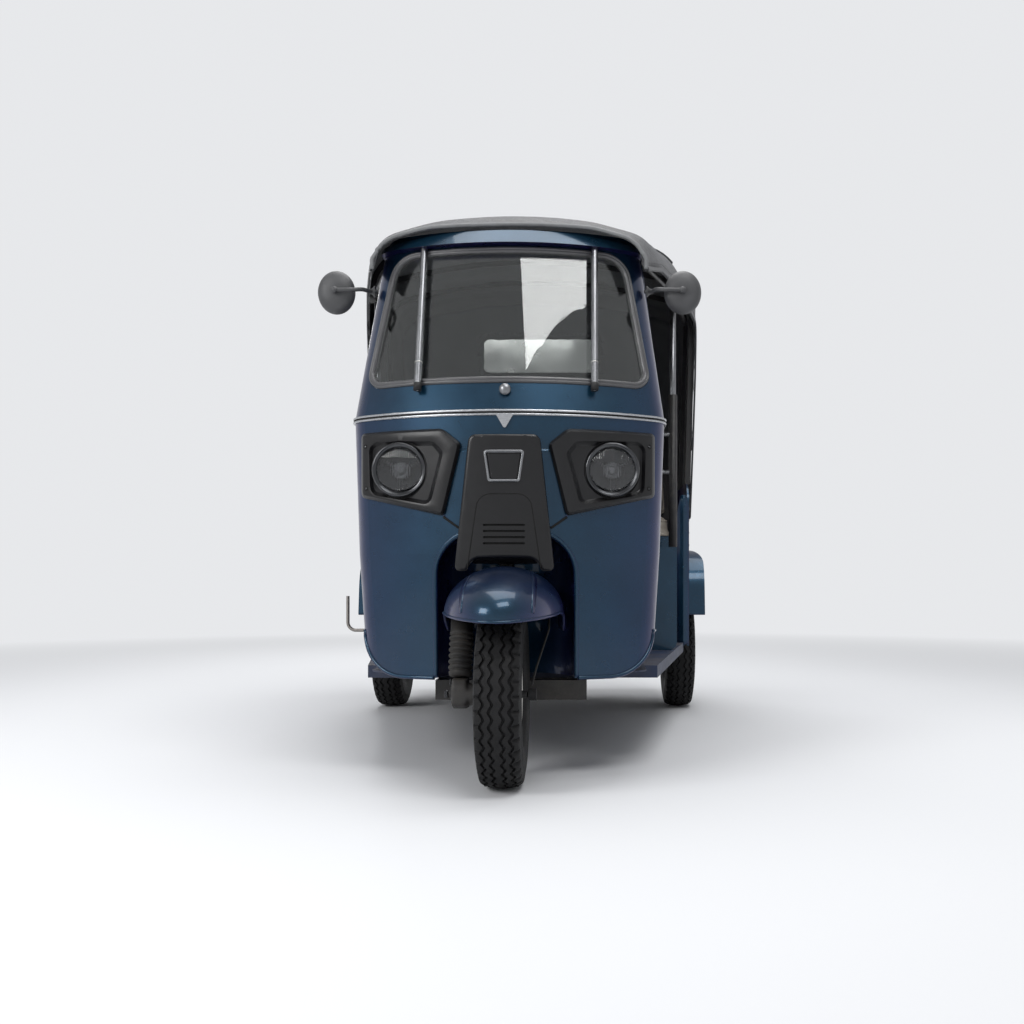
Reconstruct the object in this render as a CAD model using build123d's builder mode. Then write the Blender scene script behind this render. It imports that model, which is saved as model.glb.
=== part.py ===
"""A three-wheeled passenger auto rickshaw: leg-shield cab, canvas hood, pressed rear tub and single-sided front fork.

Frame: +X is the vehicle's left, +Y runs from nose to tail, +Z is up. The origin is on the ground, under the middle
of the vehicle's length and width. Lengths are in millimetres. Places along the vehicle are given as distances behind
the front axle and turned into Y by behind(). Heights are above the ground.
"""

import os
from math import cos, radians, sin, sqrt, tan

from build123d import *

os.makedirs("parts", exist_ok=True)

# ---------------------------------------------------------------- driving dimensions
overall_length = 2880.0
overall_width = 1436.0
wheelbase = 1920.0
rear_track = 1254.0
front_overhang = 278.0

fit_gap = 0.3  # between pieces that only rest on each other
running_gap = 6.0  # between a moving piece and what it passes

# tyres and wheels
tyre_radius = 253.5
tyre_width = 126.0
rim_radius = 131.0
rim_width = 92.0
drum_radius = 92.0
axle_radius = 11.0

# cab shell
shell_wall = 14.0
belt_height = 1040.0
shell_bottom = 288.0
shell_base = 240.0
shell_top = 1600.0
shell_front_radius = 700.0
shell_corner_radius = 105.0
door_edge_low = 392.0
door_edge_high = 436.0
chin_corner_radius = 128.0

# wheel well
well_half_width = 195.0
well_wall = 4.0
well_top = 700.0
well_centre = 112.0
well_arch_radius = 120.0

# windscreen
screen_bottom = 1122.0
screen_top = 1545.0
screen_bottom_half = 423.0
screen_top_half = 350.0
seal_width = 20.0
seal_proud = 6.0
glass_depth = 3.0
glass_thickness = 5.0

# floor and chassis
floor_top = 300.0
floor_bottom = 262.0
floor_plate = 5.0
floor_front = 398.0
floor_front_half = 448.0
floor_rear_half = 624.0
rail_height = 60.0
rail_width = 48.0
rail_place = 205.0

# partition, seats and rear tub
partition_place = 1090.0
partition_wall = 18.0
partition_top = 682.0
partition_half = 562.0
pillar_half = 548.0
pillar_radius = 11.0
sleeve_radius = 16.0
tub_front = 1548.0
tub_rear = 2560.0
tub_half = 648.0
tub_wall = 8.0
tub_top = 958.0
tub_bottom = 330.0
tub_corner = 110.0
deck_top = 735.0
wheelhouse_half = 540.0
wheelhouse_top = 575.0

# rear fenders and wheel openings
fender_half_length = 335.0
fender_top = 682.0
fender_bottom = 411.0
fender_corner = 190.0
fender_wall = 5.0
wheel_opening_radius = 296.0

# hood
hood_wall = 8.0
hood_shoulder_radius = 120.0
hood_side_bottom = 815.0

# steering
steering_rake = 16.0  # degrees back from upright
steering_trail = 40.0
column_radius = 22.0
handlebar_height = 1100.0
fork_side = -118.0
front_fender_half = 153.0
front_fender_length = 275.0
front_fender_rise = 130.0
front_fender_base = 475.0

front_axle_y = -overall_length / 2 + front_overhang


def behind(distance):
    """Y of a place this far behind the front axle."""
    return front_axle_y + distance


rear_axle_y = behind(wheelbase)
rear_wheel_x = rear_track / 2
tail_y = overall_length / 2


def steering_y(height):
    """Y of the steering axis at this height."""
    return behind(-steering_trail + height * tan(radians(steering_rake)))


def save(part, name):
    """Labels a finished sub-part and writes its STEP file."""
    part.label = name
    export_step(part, f"parts/{name}.step")


def tube(points, radius, bend=0.0):
    """A round rod through points, with its corners rounded to bend."""
    with BuildPart() as rod:
        with BuildLine() as path:
            if bend and len(points) > 2:
                FilletPolyline(*points, radius=bend)
            else:
                Polyline(*points)
        with BuildSketch(Plane(origin=path.line @ 0, z_dir=path.line % 0)):
            Circle(radius)
        sweep(transition=Transition.ROUND)
    return rod.part


def block(x_range, y_range, z_range):
    """A plain box between these places."""
    with BuildPart() as box:
        with BuildSketch(Plane.XY.offset(z_range[0])):
            with Locations(((x_range[0] + x_range[1]) / 2, (y_range[0] + y_range[1]) / 2)):
                Rectangle(x_range[1] - x_range[0], y_range[1] - y_range[0])
        extrude(amount=z_range[1] - z_range[0])
    return box.part


def front_prism(points, radii, y_start, y_end):
    """A closed outline in front view, its corners rounded by radii, run from y_start to y_end."""
    with BuildPart() as prism:
        with BuildSketch(Plane.XZ.offset(-y_start)) as outline:
            with BuildLine():
                Polyline(*points, close=True)
            make_face()
            for point, radius in zip(points, radii):
                if radius:
                    fillet(outline.vertices().sort_by_distance((point[0], point[1], 0))[0], radius)
        extrude(amount=-(y_end - y_start))
    return prism.part


def arch_prism(half, low, shoulder, crown, radius, y_start, y_end):
    """A front-view outline with straight sides, rounded shoulders and a bowed top, run from y_start to y_end."""
    with BuildPart() as prism:
        with BuildSketch(Plane.XZ.offset(-y_start)) as outline:
            with BuildLine():
                ThreePointArc((-half, shoulder), (0, crown), (half, shoulder))
                Polyline((half, shoulder), (half, low), (-half, low), (-half, shoulder))
            make_face()
            fillet(outline.vertices().sort_by(Axis.Y)[2:], radius)
        extrude(amount=-(y_end - y_start))
    return prism.part


def side_prism(points, radii, x_start, x_end):
    """A closed outline in side view, its corners rounded by radii, run from x_start to x_end."""
    with BuildPart() as prism:
        with BuildSketch(Plane.YZ.offset(x_start)) as outline:
            with BuildLine():
                Polyline(*points, close=True)
            make_face()
            for point, radius in zip(points, radii):
                if radius:
                    fillet(outline.vertices().sort_by_distance((point[0], point[1], 0))[0], radius)
        extrude(amount=x_end - x_start)
    return prism.part


def rod_along_x(place_y, place_z, x_start, x_end, radius):
    """A round bar along X."""
    with BuildPart() as bar:
        with BuildSketch(Plane.YZ.offset(x_start)):
            with Locations((place_y, place_z)):
                Circle(radius)
        extrude(amount=x_end - x_start)
    return bar.part


def rod_along_y(place_x, place_z, y_start, y_end, radius):
    """A round bar along Y."""
    with BuildPart() as bar:
        with BuildSketch(Plane.XZ.offset(-y_start)):
            with Locations((place_x, place_z)):
                Circle(radius)
        extrude(amount=-(y_end - y_start))
    return bar.part


def rod_along_z(place_x, place_y, z_start, z_end, radius):
    """A round bar along Z."""
    with BuildPart() as bar:
        with BuildSketch(Plane.XY.offset(z_start)):
            with Locations((place_x, place_y)):
                Circle(radius)
        extrude(amount=z_end - z_start)
    return bar.part


# ---------------------------------------------------------------- cab form
# Levels of the cab: height, half width, and how far the nose is behind the front axle.
CAB_LEVELS = [
    (shell_base, 421.5, 86.0),
    (640.0, 446.0, 60.0),
    (belt_height, 461.0, 60.0),
    (shell_top + 26, 385.0, 247.0),
]


def cab_half(height):
    """Half width of the cab's outer form at this height."""
    for low, high in zip(CAB_LEVELS, CAB_LEVELS[1:]):
        if height <= high[0]:
            return low[1] + (high[1] - low[1]) * (height - low[0]) / (high[0] - low[0])
    return CAB_LEVELS[-1][1]


def cab_nose(height):
    """How far the cab's front centre is behind the front axle at this height."""
    for low, high in zip(CAB_LEVELS, CAB_LEVELS[1:]):
        if height <= high[0]:
            return low[2] + (high[2] - low[2]) * (height - low[0]) / (high[0] - low[0])
    return CAB_LEVELS[-1][2]


def cab_face(height, x, inset=0.0):
    """Y of the cab's bowed front at this height and X."""
    radius = shell_front_radius - inset
    return behind(cab_nose(height)) + shell_front_radius - sqrt(radius**2 - x**2)


def cab_level(height, half_width, nose, inset, rear):
    """One closed level of the cab: bowed front, rounded front corners, straight sides and back."""
    radius = shell_front_radius - inset
    half = half_width - inset
    centre = behind(nose) + shell_front_radius
    corner = centre - sqrt(radius**2 - half**2)
    with BuildSketch(Plane.XY.offset(height)) as level:
        with BuildLine():
            ThreePointArc((-half, corner), (0, centre - radius), (half, corner))
            Polyline((half, corner), (half, rear), (-half, rear), (-half, corner))
        make_face()
        fillet(level.vertices().sort_by(Axis.Y)[:2], shell_corner_radius - inset)
    return level.sketch


def cab_form(inset, rear=520.0):
    """The cab's outer form taken in by inset, or let out when inset is negative, as one solid."""
    levels = [cab_level(*level, inset, behind(rear)) for level in CAB_LEVELS]
    with BuildPart() as form:
        loft(sections=levels, ruled=True)
    return form.part


outer_form = cab_form(0.0)
rest_form = cab_form(-fit_gap)
inner_form = cab_form(shell_wall, rear=540.0)

# ---------------------------------------------------------------- wheel well
def well_body(grow):
    """The space of the front wheel well, let out by grow."""
    half = well_half_width + grow
    with BuildPart() as space:
        with BuildSketch(Plane.XY.offset(shell_base)):
            with Locations((0, behind(well_centre))):
                Circle(half)
            with Locations((0, behind(well_centre) - 150)):
                Rectangle(2 * half, 300)
        extrude(amount=well_top + grow - shell_base)
    arch = front_prism(
        [
            (-half, shell_base - 10),
            (half, shell_base - 10),
            (half, well_top + grow),
            (-half, well_top + grow),
        ],
        [0, 0, well_arch_radius + grow, well_arch_radius + grow],
        behind(-300),
        behind(500),
    )
    return space.part & arch


column_axis = Axis((0, steering_y(0), 0), (0, sin(radians(steering_rake)), cos(radians(steering_rake))))


def along_column(low, high, radius):
    """A round bar on the steering axis between two heights."""
    with BuildPart() as bar:
        with BuildSketch(Plane(origin=(0, steering_y(low), low), z_dir=column_axis.direction)):
            Circle(radius)
        extrude(amount=(high - low) / cos(radians(steering_rake)))
    return bar.part


well_outer = well_body(well_wall)
column_passage = along_column(300, 1200, column_radius + running_gap)

with BuildPart() as wheel_well:
    add(well_outer)
    add(well_body(0.0), mode=Mode.SUBTRACT)
    add(outer_form, mode=Mode.INTERSECT)
    add(block((-260, 260), (behind(-50), behind(400)), (shell_bottom, 800)), mode=Mode.INTERSECT)
    add(column_passage, mode=Mode.SUBTRACT)
save(wheel_well.part, "wheel_well")

# ---------------------------------------------------------------- front shell
SCREEN_CORNERS = [
    (-screen_bottom_half, screen_bottom),
    (screen_bottom_half, screen_bottom),
    (screen_top_half, screen_top),
    (-screen_top_half, screen_top),
]


def screen_outline(inset):
    """The windscreen opening in front view, taken in by inset, as a prism through the cab's front."""
    slope = (screen_bottom_half - screen_top_half) / (screen_top - screen_bottom)
    side = inset * sqrt(1 + slope**2)
    low = screen_bottom + inset
    high = screen_top - inset
    low_half = screen_bottom_half - side - slope * inset
    high_half = screen_top_half - side + slope * inset
    return front_prism(
        [(-low_half, low), (low_half, low), (high_half, high), (-high_half, high)],
        [48 - inset, 48 - inset, 88 - inset, 88 - inset],
        behind(20),
        behind(470),
    )


shell_outline = front_prism(
    [
        (-cab_half(shell_bottom) - 0.5, shell_bottom),
        (cab_half(shell_bottom) + 0.5, shell_bottom),
        (cab_half(640) + 0.5, 640),
        (cab_half(belt_height) + 0.5, belt_height),
        (cab_half(belt_height) + 0.5, shell_top),
        (-cab_half(belt_height) - 0.5, shell_top),
        (-cab_half(belt_height) - 0.5, belt_height),
        (-cab_half(640) - 0.5, 640),
    ],
    [chin_corner_radius, chin_corner_radius, 0, 0, 140, 140, 0, 0],
    behind(0),
    behind(560),
)
door_cut = side_prism(
    [
        (behind(-50), 200),
        (behind(door_edge_low), 200),
        (behind(door_edge_low), belt_height + 30),
        (behind(door_edge_high), shell_top + 30),
        (behind(-50), shell_top + 30),
    ],
    [0, 0, 60, 0, 0],
    -600,
    600,
)
# lamp centre height, X, radius of the hole in the shell
lamp_height = 879.0
lamp_place = 302.0
lamp_ring_radius = 77.5
lamp_bowl_radius = 64.0

with BuildPart() as front_shell:
    add(outer_form)
    add(inner_form, mode=Mode.SUBTRACT)
    add(shell_outline, mode=Mode.INTERSECT)
    add(door_cut, mode=Mode.INTERSECT)
    add(screen_outline(0.0), mode=Mode.SUBTRACT)
    add(well_body(well_wall + fit_gap), mode=Mode.SUBTRACT)
    for side in (-1, 1):
        add(
            rod_along_y(side * lamp_place, lamp_height, behind(40), behind(300), lamp_ring_radius + fit_gap),
            mode=Mode.SUBTRACT,
        )
save(front_shell.part, "front_shell")

# ---------------------------------------------------------------- windscreen
with BuildPart() as windscreen_seal:
    add(cab_form(-seal_proud))
    add(cab_form(shell_wall), mode=Mode.SUBTRACT)
    add(screen_outline(fit_gap), mode=Mode.INTERSECT)
    add(screen_outline(seal_width), mode=Mode.SUBTRACT)
save(windscreen_seal.part, "windscreen_seal")

with BuildPart() as windscreen_glass:
    add(cab_form(glass_depth))
    add(cab_form(glass_depth + glass_thickness), mode=Mode.SUBTRACT)
    add(screen_outline(seal_width + fit_gap), mode=Mode.INTERSECT)
save(windscreen_glass.part, "windscreen_glass")

# ---------------------------------------------------------------- header visor and windscreen stays
visor_low = 1549.0
visor_high = 1596.0
visor_reach = 40.0


def visor_level(height, forward):
    """One level of the header visor, let out forward of the cab's front."""
    return cab_level(height, cab_half(height) + 7, cab_nose(height) - forward, 0.0, behind(430))


with BuildPart() as roof_visor:
    loft(sections=[visor_level(visor_low, visor_reach), visor_level(visor_high, 16.0)], ruled=True)
    add(arch_prism(394, visor_low - 2, 1568, visor_high - 2, 16, behind(100), behind(500)), mode=Mode.INTERSECT)
    add(rest_form, mode=Mode.SUBTRACT)
save(roof_visor.part, "roof_visor")

stay_place = 252.0
stay_radius = 10.0
stay_offset = 19.0
stay_foot_height = 1108.0
with BuildPart() as windscreen_stays:
    for side in (-1, 1):
        x = side * stay_place
        foot_y = cab_face(stay_foot_height, stay_place)
        head_y = cab_face(visor_low + 14, stay_place)
        add(tube([(x, foot_y - stay_offset, stay_foot_height), (x, head_y - stay_offset, visor_low + 14)], stay_radius))
        add(rod_along_y(x, stay_foot_height + 3, foot_y - stay_offset, foot_y + 20, 7))
    add(rest_form, mode=Mode.SUBTRACT)
    add(roof_visor.part, mode=Mode.SUBTRACT)
    add(block((-500, 500), (behind(0), behind(500)), (visor_low, visor_low + 60)), mode=Mode.SUBTRACT)
save(windscreen_stays.part, "windscreen_stays")

# ---------------------------------------------------------------- belt trim with its chevron, and the lock cap
trim_proud = 5.0
trim_height = 1036.0
cap_height = 1102.0
with BuildPart() as belt_trim:
    add(cab_form(-trim_proud))
    add(
        block((-500, 500), (behind(0), behind(384)), (trim_height - 8.5, trim_height + 8.5)),
        mode=Mode.INTERSECT,
    )
    chevron = front_prism(
        [(-24, 1029), (24, 1029), (0, 988)], [0, 0, 5], behind(0), behind(200)
    )
    add(cab_form(-trim_proud - 2) & chevron)
    add(rod_along_y(0, cap_height, cab_face(cap_height, 0) - 12, cab_face(cap_height, 0) + 20, 13))
    add(rest_form, mode=Mode.SUBTRACT)
save(belt_trim.part, "belt_trim")

# ---------------------------------------------------------------- nose cowl and badge frame
cowl_proud = 34.0
cowl_wall = 4.0
COWL_CORNERS = [(-140, 592), (-104, 592), (-92, 628), (92, 628), (104, 592), (140, 592), (99, 972), (-99, 972)]
COWL_INNER = [(-135, 580), (-99, 580), (-87, 634), (87, 634), (99, 580), (135, 580), (94.5, 967.5), (-94.5, 967.5)]
COWL_RADII = [14, 10, 40, 40, 10, 14, 22, 22]

with BuildPart() as nose_cowl:
    add(cab_form(-cowl_proud) & front_prism(COWL_CORNERS, COWL_RADII, behind(0), behind(200)))
    inner = cab_form(-cowl_proud + cowl_wall)
    add(inner & front_prism(COWL_INNER, [9, 9, 36, 36, 9, 9, 18, 18], behind(0), behind(200)), mode=Mode.SUBTRACT)
    add(rest_form, mode=Mode.SUBTRACT)
    for slot_height in (668.5, 685.5, 702.5, 719.5):
        slot = front_prism(
            [(-58, slot_height - 3), (58, slot_height - 3), (58, slot_height + 3), (-58, slot_height + 3)],
            [2.5, 2.5, 2.5, 2.5],
            behind(0),
            behind(58),
        )
        add(slot, mode=Mode.SUBTRACT)
save(nose_cowl.part, "nose_cowl")

BADGE_CORNERS = [(-44, 839), (44, 839), (57, 927), (-57, 927)]
BADGE_INNER = [(-38.5, 845), (38.5, 845), (50, 921), (-50, 921)]
with BuildPart() as badge_frame:
    add(cab_form(-cowl_proud - 5) & front_prism(BADGE_CORNERS, [9, 9, 9, 9], behind(0), behind(150)))
    hollow = cab_form(-cowl_proud - 1.5, rear=530)
    recess = front_prism(BADGE_INNER, [5, 5, 5, 5], behind(-20), behind(150))
    add(recess - hollow, mode=Mode.SUBTRACT)
    add(cab_form(-cowl_proud - fit_gap), mode=Mode.SUBTRACT)
save(badge_frame.part, "badge_frame")

# ---------------------------------------------------------------- headlamps
bezel_proud = 18.0
BEZEL_CORNERS = [(428, 806), (172, 746), (122, 948), (176, 992), (428, 992)]
BEZEL_RADII = [16, 12, 18, 30, 12]
with BuildPart() as headlamp_bezels:
    for side in (-1, 1):
        outline = [(side * x, z) for x, z in BEZEL_CORNERS]
        cover = cab_form(-bezel_proud) & front_prism(outline, BEZEL_RADII, behind(0), behind(330))
        add(cover - rod_along_y(side * lamp_place, lamp_height, behind(0), behind(330), lamp_ring_radius + 3))
    add(rest_form, mode=Mode.SUBTRACT)
save(headlamp_bezels.part, "headlamp_bezels")

lamp_front = cab_face(lamp_height, lamp_place) - 28
with BuildPart() as headlamp_units:
    for side in (-1, 1):
        x = side * lamp_place
        body = rod_along_y(x, lamp_height, lamp_front, lamp_front + 100, lamp_ring_radius)
        add(body - rod_along_y(x, lamp_height, lamp_front - 2, lamp_front + 66, lamp_bowl_radius))
save(headlamp_units.part, "headlamp_units")

with BuildPart() as headlamp_lenses:
    for side in (-1, 1):
        with BuildSketch(Plane.XZ.offset(-(lamp_front + 2))):
            with Locations((side * lamp_place, lamp_height)):
                Circle(lamp_bowl_radius - fit_gap)
        extrude(amount=-6)
save(headlamp_lenses.part, "headlamp_lenses")

# ---------------------------------------------------------------- mirrors
mirror_height = 1411.0
mirror_place = 514.0
mirror_y = behind(250)
arm_root = cab_half(mirror_height)
with BuildPart() as door_mirrors:
    for side in (-1, 1):
        arm = tube(
            [
                (side * (arm_root - 12), behind(385), mirror_height),
                (side * (arm_root + 34), behind(385), mirror_height),
                (side * (mirror_place - 20), mirror_y + 14, mirror_height),
            ],
            6.5,
            bend=24,
        )
        add(arm - rest_form)
        with BuildSketch(Plane.XZ.offset(-(mirror_y + 22))):
            with Locations((side * mirror_place, mirror_height)):
                Ellipse(56, 63)
        with BuildSketch(Plane.XZ.offset(-(mirror_y - 12))):
            with Locations((side * mirror_place, mirror_height)):
                Ellipse(38, 44)
        loft(ruled=True)
save(door_mirrors.part, "door_mirrors")

# ---------------------------------------------------------------- floor and side panel
floor_back = partition_place + 458


def floor_body(inset, low, high):
    """The floor's trapezoid taken in by inset between two heights."""
    points = [
        (-floor_front_half + inset, behind(floor_front) + inset),
        (floor_front_half - inset, behind(floor_front) + inset),
        (floor_rear_half - inset, behind(floor_back - 2) - inset),
        (-floor_rear_half + inset, behind(floor_back - 2) - inset),
    ]
    with BuildPart() as pan:
        with BuildSketch(Plane.XY.offset(low)):
            with BuildLine():
                Polyline(*points, close=True)
            make_face()
        extrude(amount=high - low)
    return pan.part


neck_half = 26.0
with BuildPart() as floor_pan:
    add(floor_body(0.0, floor_bottom, floor_top))
    add(floor_body(floor_plate, floor_bottom - 1, floor_top - floor_plate), mode=Mode.SUBTRACT)
    toe_plate = cab_form(shell_wall + fit_gap)
    toe_plate = toe_plate & block((-430, 430), (behind(60), behind(floor_front + 10)), (floor_top - 5, floor_top))
    add(toe_plate & front_prism(
        [(-400, floor_top - 14), (400, floor_top - 14), (500, 500), (-500, 500)],
        [0, 0, 0, 0],
        behind(0),
        behind(600),
    ))
    add(well_body(well_wall + fit_gap), mode=Mode.SUBTRACT)
    add(block((-neck_half - 1, neck_half + 1), (behind(280), behind(352)), (200, 400)), mode=Mode.SUBTRACT)
save(floor_pan.part, "floor_pan")

# ---------------------------------------------------------------- chassis with the steering head
chassis_top = floor_bottom - fit_gap
chassis_low = chassis_top - rail_height
RAILS = [(-rail_place, 322.0, 2440.0), (rail_place, 322.0, 2440.0)]
CROSS_MEMBERS = [346.0, 1000.0, 1500.0, 2416.0]
ENGINE_MOUNTS = [1820.0, 2240.0]
with BuildPart() as chassis_frame:
    for x, start, end in RAILS:
        add(block((x - rail_width / 2, x + rail_width / 2), (behind(start), behind(end)), (chassis_low, chassis_top)))
    for place in CROSS_MEMBERS:
        add(block((-rail_place, rail_place), (behind(place - 24), behind(place + 24)), (chassis_low, chassis_top)))
    neck = side_prism(
        [
            (behind(310), chassis_low + 1),
            (behind(346), chassis_low + 1),
            (behind(346), 560),
            (behind(262), 925),
            (behind(200), 925),
            (behind(172), 760),
            (behind(172), 708),
            (behind(310), 708),
        ],
        [0, 0, 60, 0, 0, 0, 0, 0],
        -neck_half,
        neck_half,
    )
    add(neck)
    add(along_column(735, 930, column_radius + running_gap + 8))
    for place in ENGINE_MOUNTS:
        for x_range in ((-228.0, -190.3), (190.3, 228.0)):
            add(block(x_range, (behind(place - 30), behind(place + 30)), (chassis_top - 1, 380)))
    add(along_column(600, 1000, column_radius + fit_gap), mode=Mode.SUBTRACT)
    add(well_body(well_wall + fit_gap), mode=Mode.SUBTRACT)
save(chassis_frame.part, "chassis_frame")

# ---------------------------------------------------------------- dashboard
with BuildPart() as dashboard:
    panel = side_prism(
        [(behind(70), 972), (behind(250), 964), (behind(262), 1020), (behind(150), 1072), (behind(70), 1072)],
        [0, 14, 24, 14, 0],
        -445,
        445,
    )
    inside = side_prism(
        [(behind(60), 978), (behind(244), 970), (behind(254), 1016), (behind(148), 1066), (behind(60), 1066)],
        [0, 10, 20, 10, 0],
        -439,
        439,
    )
    add(panel & cab_form(shell_wall + fit_gap))
    add(inside & cab_form(shell_wall + 6), mode=Mode.SUBTRACT)
    add(along_column(880, 1140, column_radius + running_gap + 4), mode=Mode.SUBTRACT)
save(dashboard.part, "dashboard")

# ---------------------------------------------------------------- partition, pillars, rails
partition_y = behind(partition_place)
with BuildPart() as partition_panel:
    with BuildSketch(Plane.XZ.offset(-partition_y)):
        with Locations((0, (floor_top + partition_top) / 2)):
            RectangleRounded(2 * partition_half, partition_top - floor_top - 2 * fit_gap, 30)
    extrude(amount=-partition_wall)
    with BuildSketch(Plane.XZ.offset(-partition_y)):
        with Locations((255, 480), (-255, 480)):
            RectangleRounded(430, 270, 45)
        with Locations((255, 480), (-255, 480)):
            RectangleRounded(418, 258, 39, mode=Mode.SUBTRACT)
    extrude(amount=-4, mode=Mode.SUBTRACT)
save(partition_panel.part, "partition_panel")

pillar_y = partition_y + partition_wall / 2
pillar_top = 1588.0
sleeve_top = 1246.0
with BuildPart() as pillars:
    for side in (-1, 1):
        add(rod_along_z(side * pillar_half, pillar_y, partition_top + fit_gap, pillar_top, pillar_radius))
    for height in (960.0, 1101.0):
        add(rod_along_x(pillar_y, height, -pillar_half, pillar_half, 9))
    for side in (-1, 1):
        add(rod_along_z(side * pillar_half, pillar_y, partition_top + fit_gap, sleeve_top, sleeve_radius))
save(pillars.part, "pillars")

# ---------------------------------------------------------------- driver's seat
seat_front = 720.0
seat_back = 1030.0
seat_half = 250.0
with BuildPart() as driver_seat_box:
    add(block((-seat_half, seat_half), (behind(seat_front), behind(seat_back)), (floor_top + fit_gap, 560)))
    add(
        block((-seat_half + 8, seat_half - 8), (behind(seat_front + 8), behind(seat_back - 8)), (floor_top, 552)),
        mode=Mode.SUBTRACT,
    )
save(driver_seat_box.part, "driver_seat_box")

with BuildPart() as driver_cushion:
    with BuildSketch(Plane.XY.offset(560 + fit_gap)):
        with Locations((0, behind((seat_front + seat_back) / 2))):
            RectangleRounded(2 * seat_half + 10, seat_back - seat_front + 10, 40)
    extrude(amount=75)
    fillet(driver_cushion.edges().group_by(Axis.Z)[-1], 22)
save(driver_cushion.part, "driver_cushion")

with BuildPart() as driver_backrest:
    with BuildSketch(Plane.XZ.offset(-(partition_y - 52))):
        with Locations((0, 1030)):
            RectangleRounded(420, 200, 45)
    extrude(amount=-(52 + partition_wall / 2 - 9 - fit_gap))
    fillet(driver_backrest.edges().group_by(Axis.Y)[0], 16)
save(driver_backrest.part, "driver_backrest")

# ---------------------------------------------------------------- rear tub
wheel_arch_cut = rod_along_x(rear_axle_y, tyre_radius, -900, 900, wheel_opening_radius)


def tub_body(inset, low, high):
    """The rear tub's plan outline taken in by inset between two heights, open to the front."""
    half = tub_half - inset
    with BuildPart() as body:
        with BuildSketch(Plane.XY.offset(low)) as plan:
            with BuildLine():
                Polyline(
                    (-half, behind(tub_front)),
                    (half, behind(tub_front)),
                    (half, behind(tub_rear) - inset),
                    (-half, behind(tub_rear) - inset),
                    close=True,
                )
            make_face()
            fillet(plan.vertices().sort_by(Axis.Y)[2:], tub_corner - inset)
        extrude(amount=high - low)
    return body.part


plate_height = 795.0
plate_hole_spacing = 180.0
plate_hole_radius = 3.5
lid_half = 330.0
lid_low = 392.0
lid_high = 700.0
quarter_side = side_prism(
    [
        (behind(tub_front - 1), tub_bottom - 44),
        (behind(tub_front + 60), tub_bottom),
        (behind(tub_rear + 10), tub_bottom),
        (behind(tub_rear + 10), tub_top),
        (behind(tub_front - 1), tub_top),
    ],
    [0, 0, 0, 0, 90],
    -800,
    800,
)
with BuildPart() as rear_tub:
    add(tub_body(0.0, tub_bottom - 50, tub_top))
    add(tub_body(tub_wall, tub_bottom - 60, tub_top + 10), mode=Mode.SUBTRACT)
    add(
        block((-640, 640), (behind(tub_front) - 20, behind(tub_front) + 60), (tub_bottom - 60, tub_top + 10)),
        mode=Mode.SUBTRACT,
    )
    for side in (-1, 1):
        inner = side * wheelhouse_half
        outer = side * (tub_half - 1)
        x_range = (min(inner, outer), max(inner, outer))
        house = block(x_range, (behind(1592), behind(2248)), (tub_bottom, wheelhouse_top))
        house_hollow = block(
            (min(inner + side * 6, outer + side * 20), max(inner + side * 6, outer + side * 20)),
            (behind(1598), behind(2242)),
            (tub_bottom - 10, wheelhouse_top - 6),
        )
        add(house - house_hollow)
    deck = tub_body(tub_wall - 1, deck_top - 16, deck_top)
    add(deck)
    add(
        block(
            (-wheelhouse_half - 90, wheelhouse_half + 90),
            (behind(tub_front), behind(tub_front + 12)),
            (floor_bottom + 2, deck_top - 1),
        )
    )
    add(quarter_side, mode=Mode.INTERSECT)
    add(wheel_arch_cut - block((-639, 639), (behind(1500), behind(2400)), (0, 900)), mode=Mode.SUBTRACT)
    add(
        block(
            (-lid_half, lid_half), (behind(tub_rear - 40), behind(tub_rear + 10)), (lid_low, lid_high)
        ),
        mode=Mode.SUBTRACT,
    )
    for x in (-plate_hole_spacing / 2, plate_hole_spacing / 2):
        hole = rod_along_y(x, plate_height + 38, behind(tub_rear - 20), behind(tub_rear + 5), plate_hole_radius)
        add(hole, mode=Mode.SUBTRACT)
save(rear_tub.part, "rear_tub")

# ---------------------------------------------------------------- rear fenders
fender_reach = overall_width / 2
with BuildPart() as rear_fenders:
    for side in (-1, 1):
        inner_x = side * (tub_half + fit_gap)
        outer_x = side * fender_reach
        points = [
            (rear_axle_y - fender_half_length, fender_bottom),
            (rear_axle_y + fender_half_length, fender_bottom),
            (rear_axle_y + fender_half_length - 40, fender_top),
            (rear_axle_y - fender_half_length + 40, fender_top),
        ]
        radii = [8, 8, fender_corner, fender_corner]
        arch = side_prism(points, radii, min(inner_x, outer_x), max(inner_x, outer_x))
        crown = front_prism(
            [
                (side * 560, fender_bottom - 60),
                (outer_x, fender_bottom - 60),
                (outer_x, fender_top + 1),
                (side * 560, fender_top + 1),
            ],
            [0, 0, 56, 0],
            rear_axle_y - 500,
            rear_axle_y + 500,
        )
        hollow_points = [
            (rear_axle_y - fender_half_length + fender_wall, fender_bottom - 20),
            (rear_axle_y + fender_half_length - fender_wall, fender_bottom - 20),
            (rear_axle_y + fender_half_length - 40 - fender_wall, fender_top - fender_wall),
            (rear_axle_y - fender_half_length + 40 + fender_wall, fender_top - fender_wall),
        ]
        skin_x = outer_x - side * fender_wall
        back_x = inner_x - side * 40
        hollow = side_prism(
            hollow_points, [0, 0, fender_corner - 5, fender_corner - 5], min(skin_x, back_x), max(skin_x, back_x)
        )
        hollow_crown = front_prism(
            [
                (side * 540, fender_bottom - 80),
                (skin_x, fender_bottom - 80),
                (skin_x, fender_top - fender_wall + 1),
                (side * 540, fender_top - fender_wall + 1),
            ],
            [0, 0, 51, 0],
            rear_axle_y - 500,
            rear_axle_y + 500,
        )
        add((arch & crown) - (hollow & hollow_crown))
save(rear_fenders.part, "rear_fenders")

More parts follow.
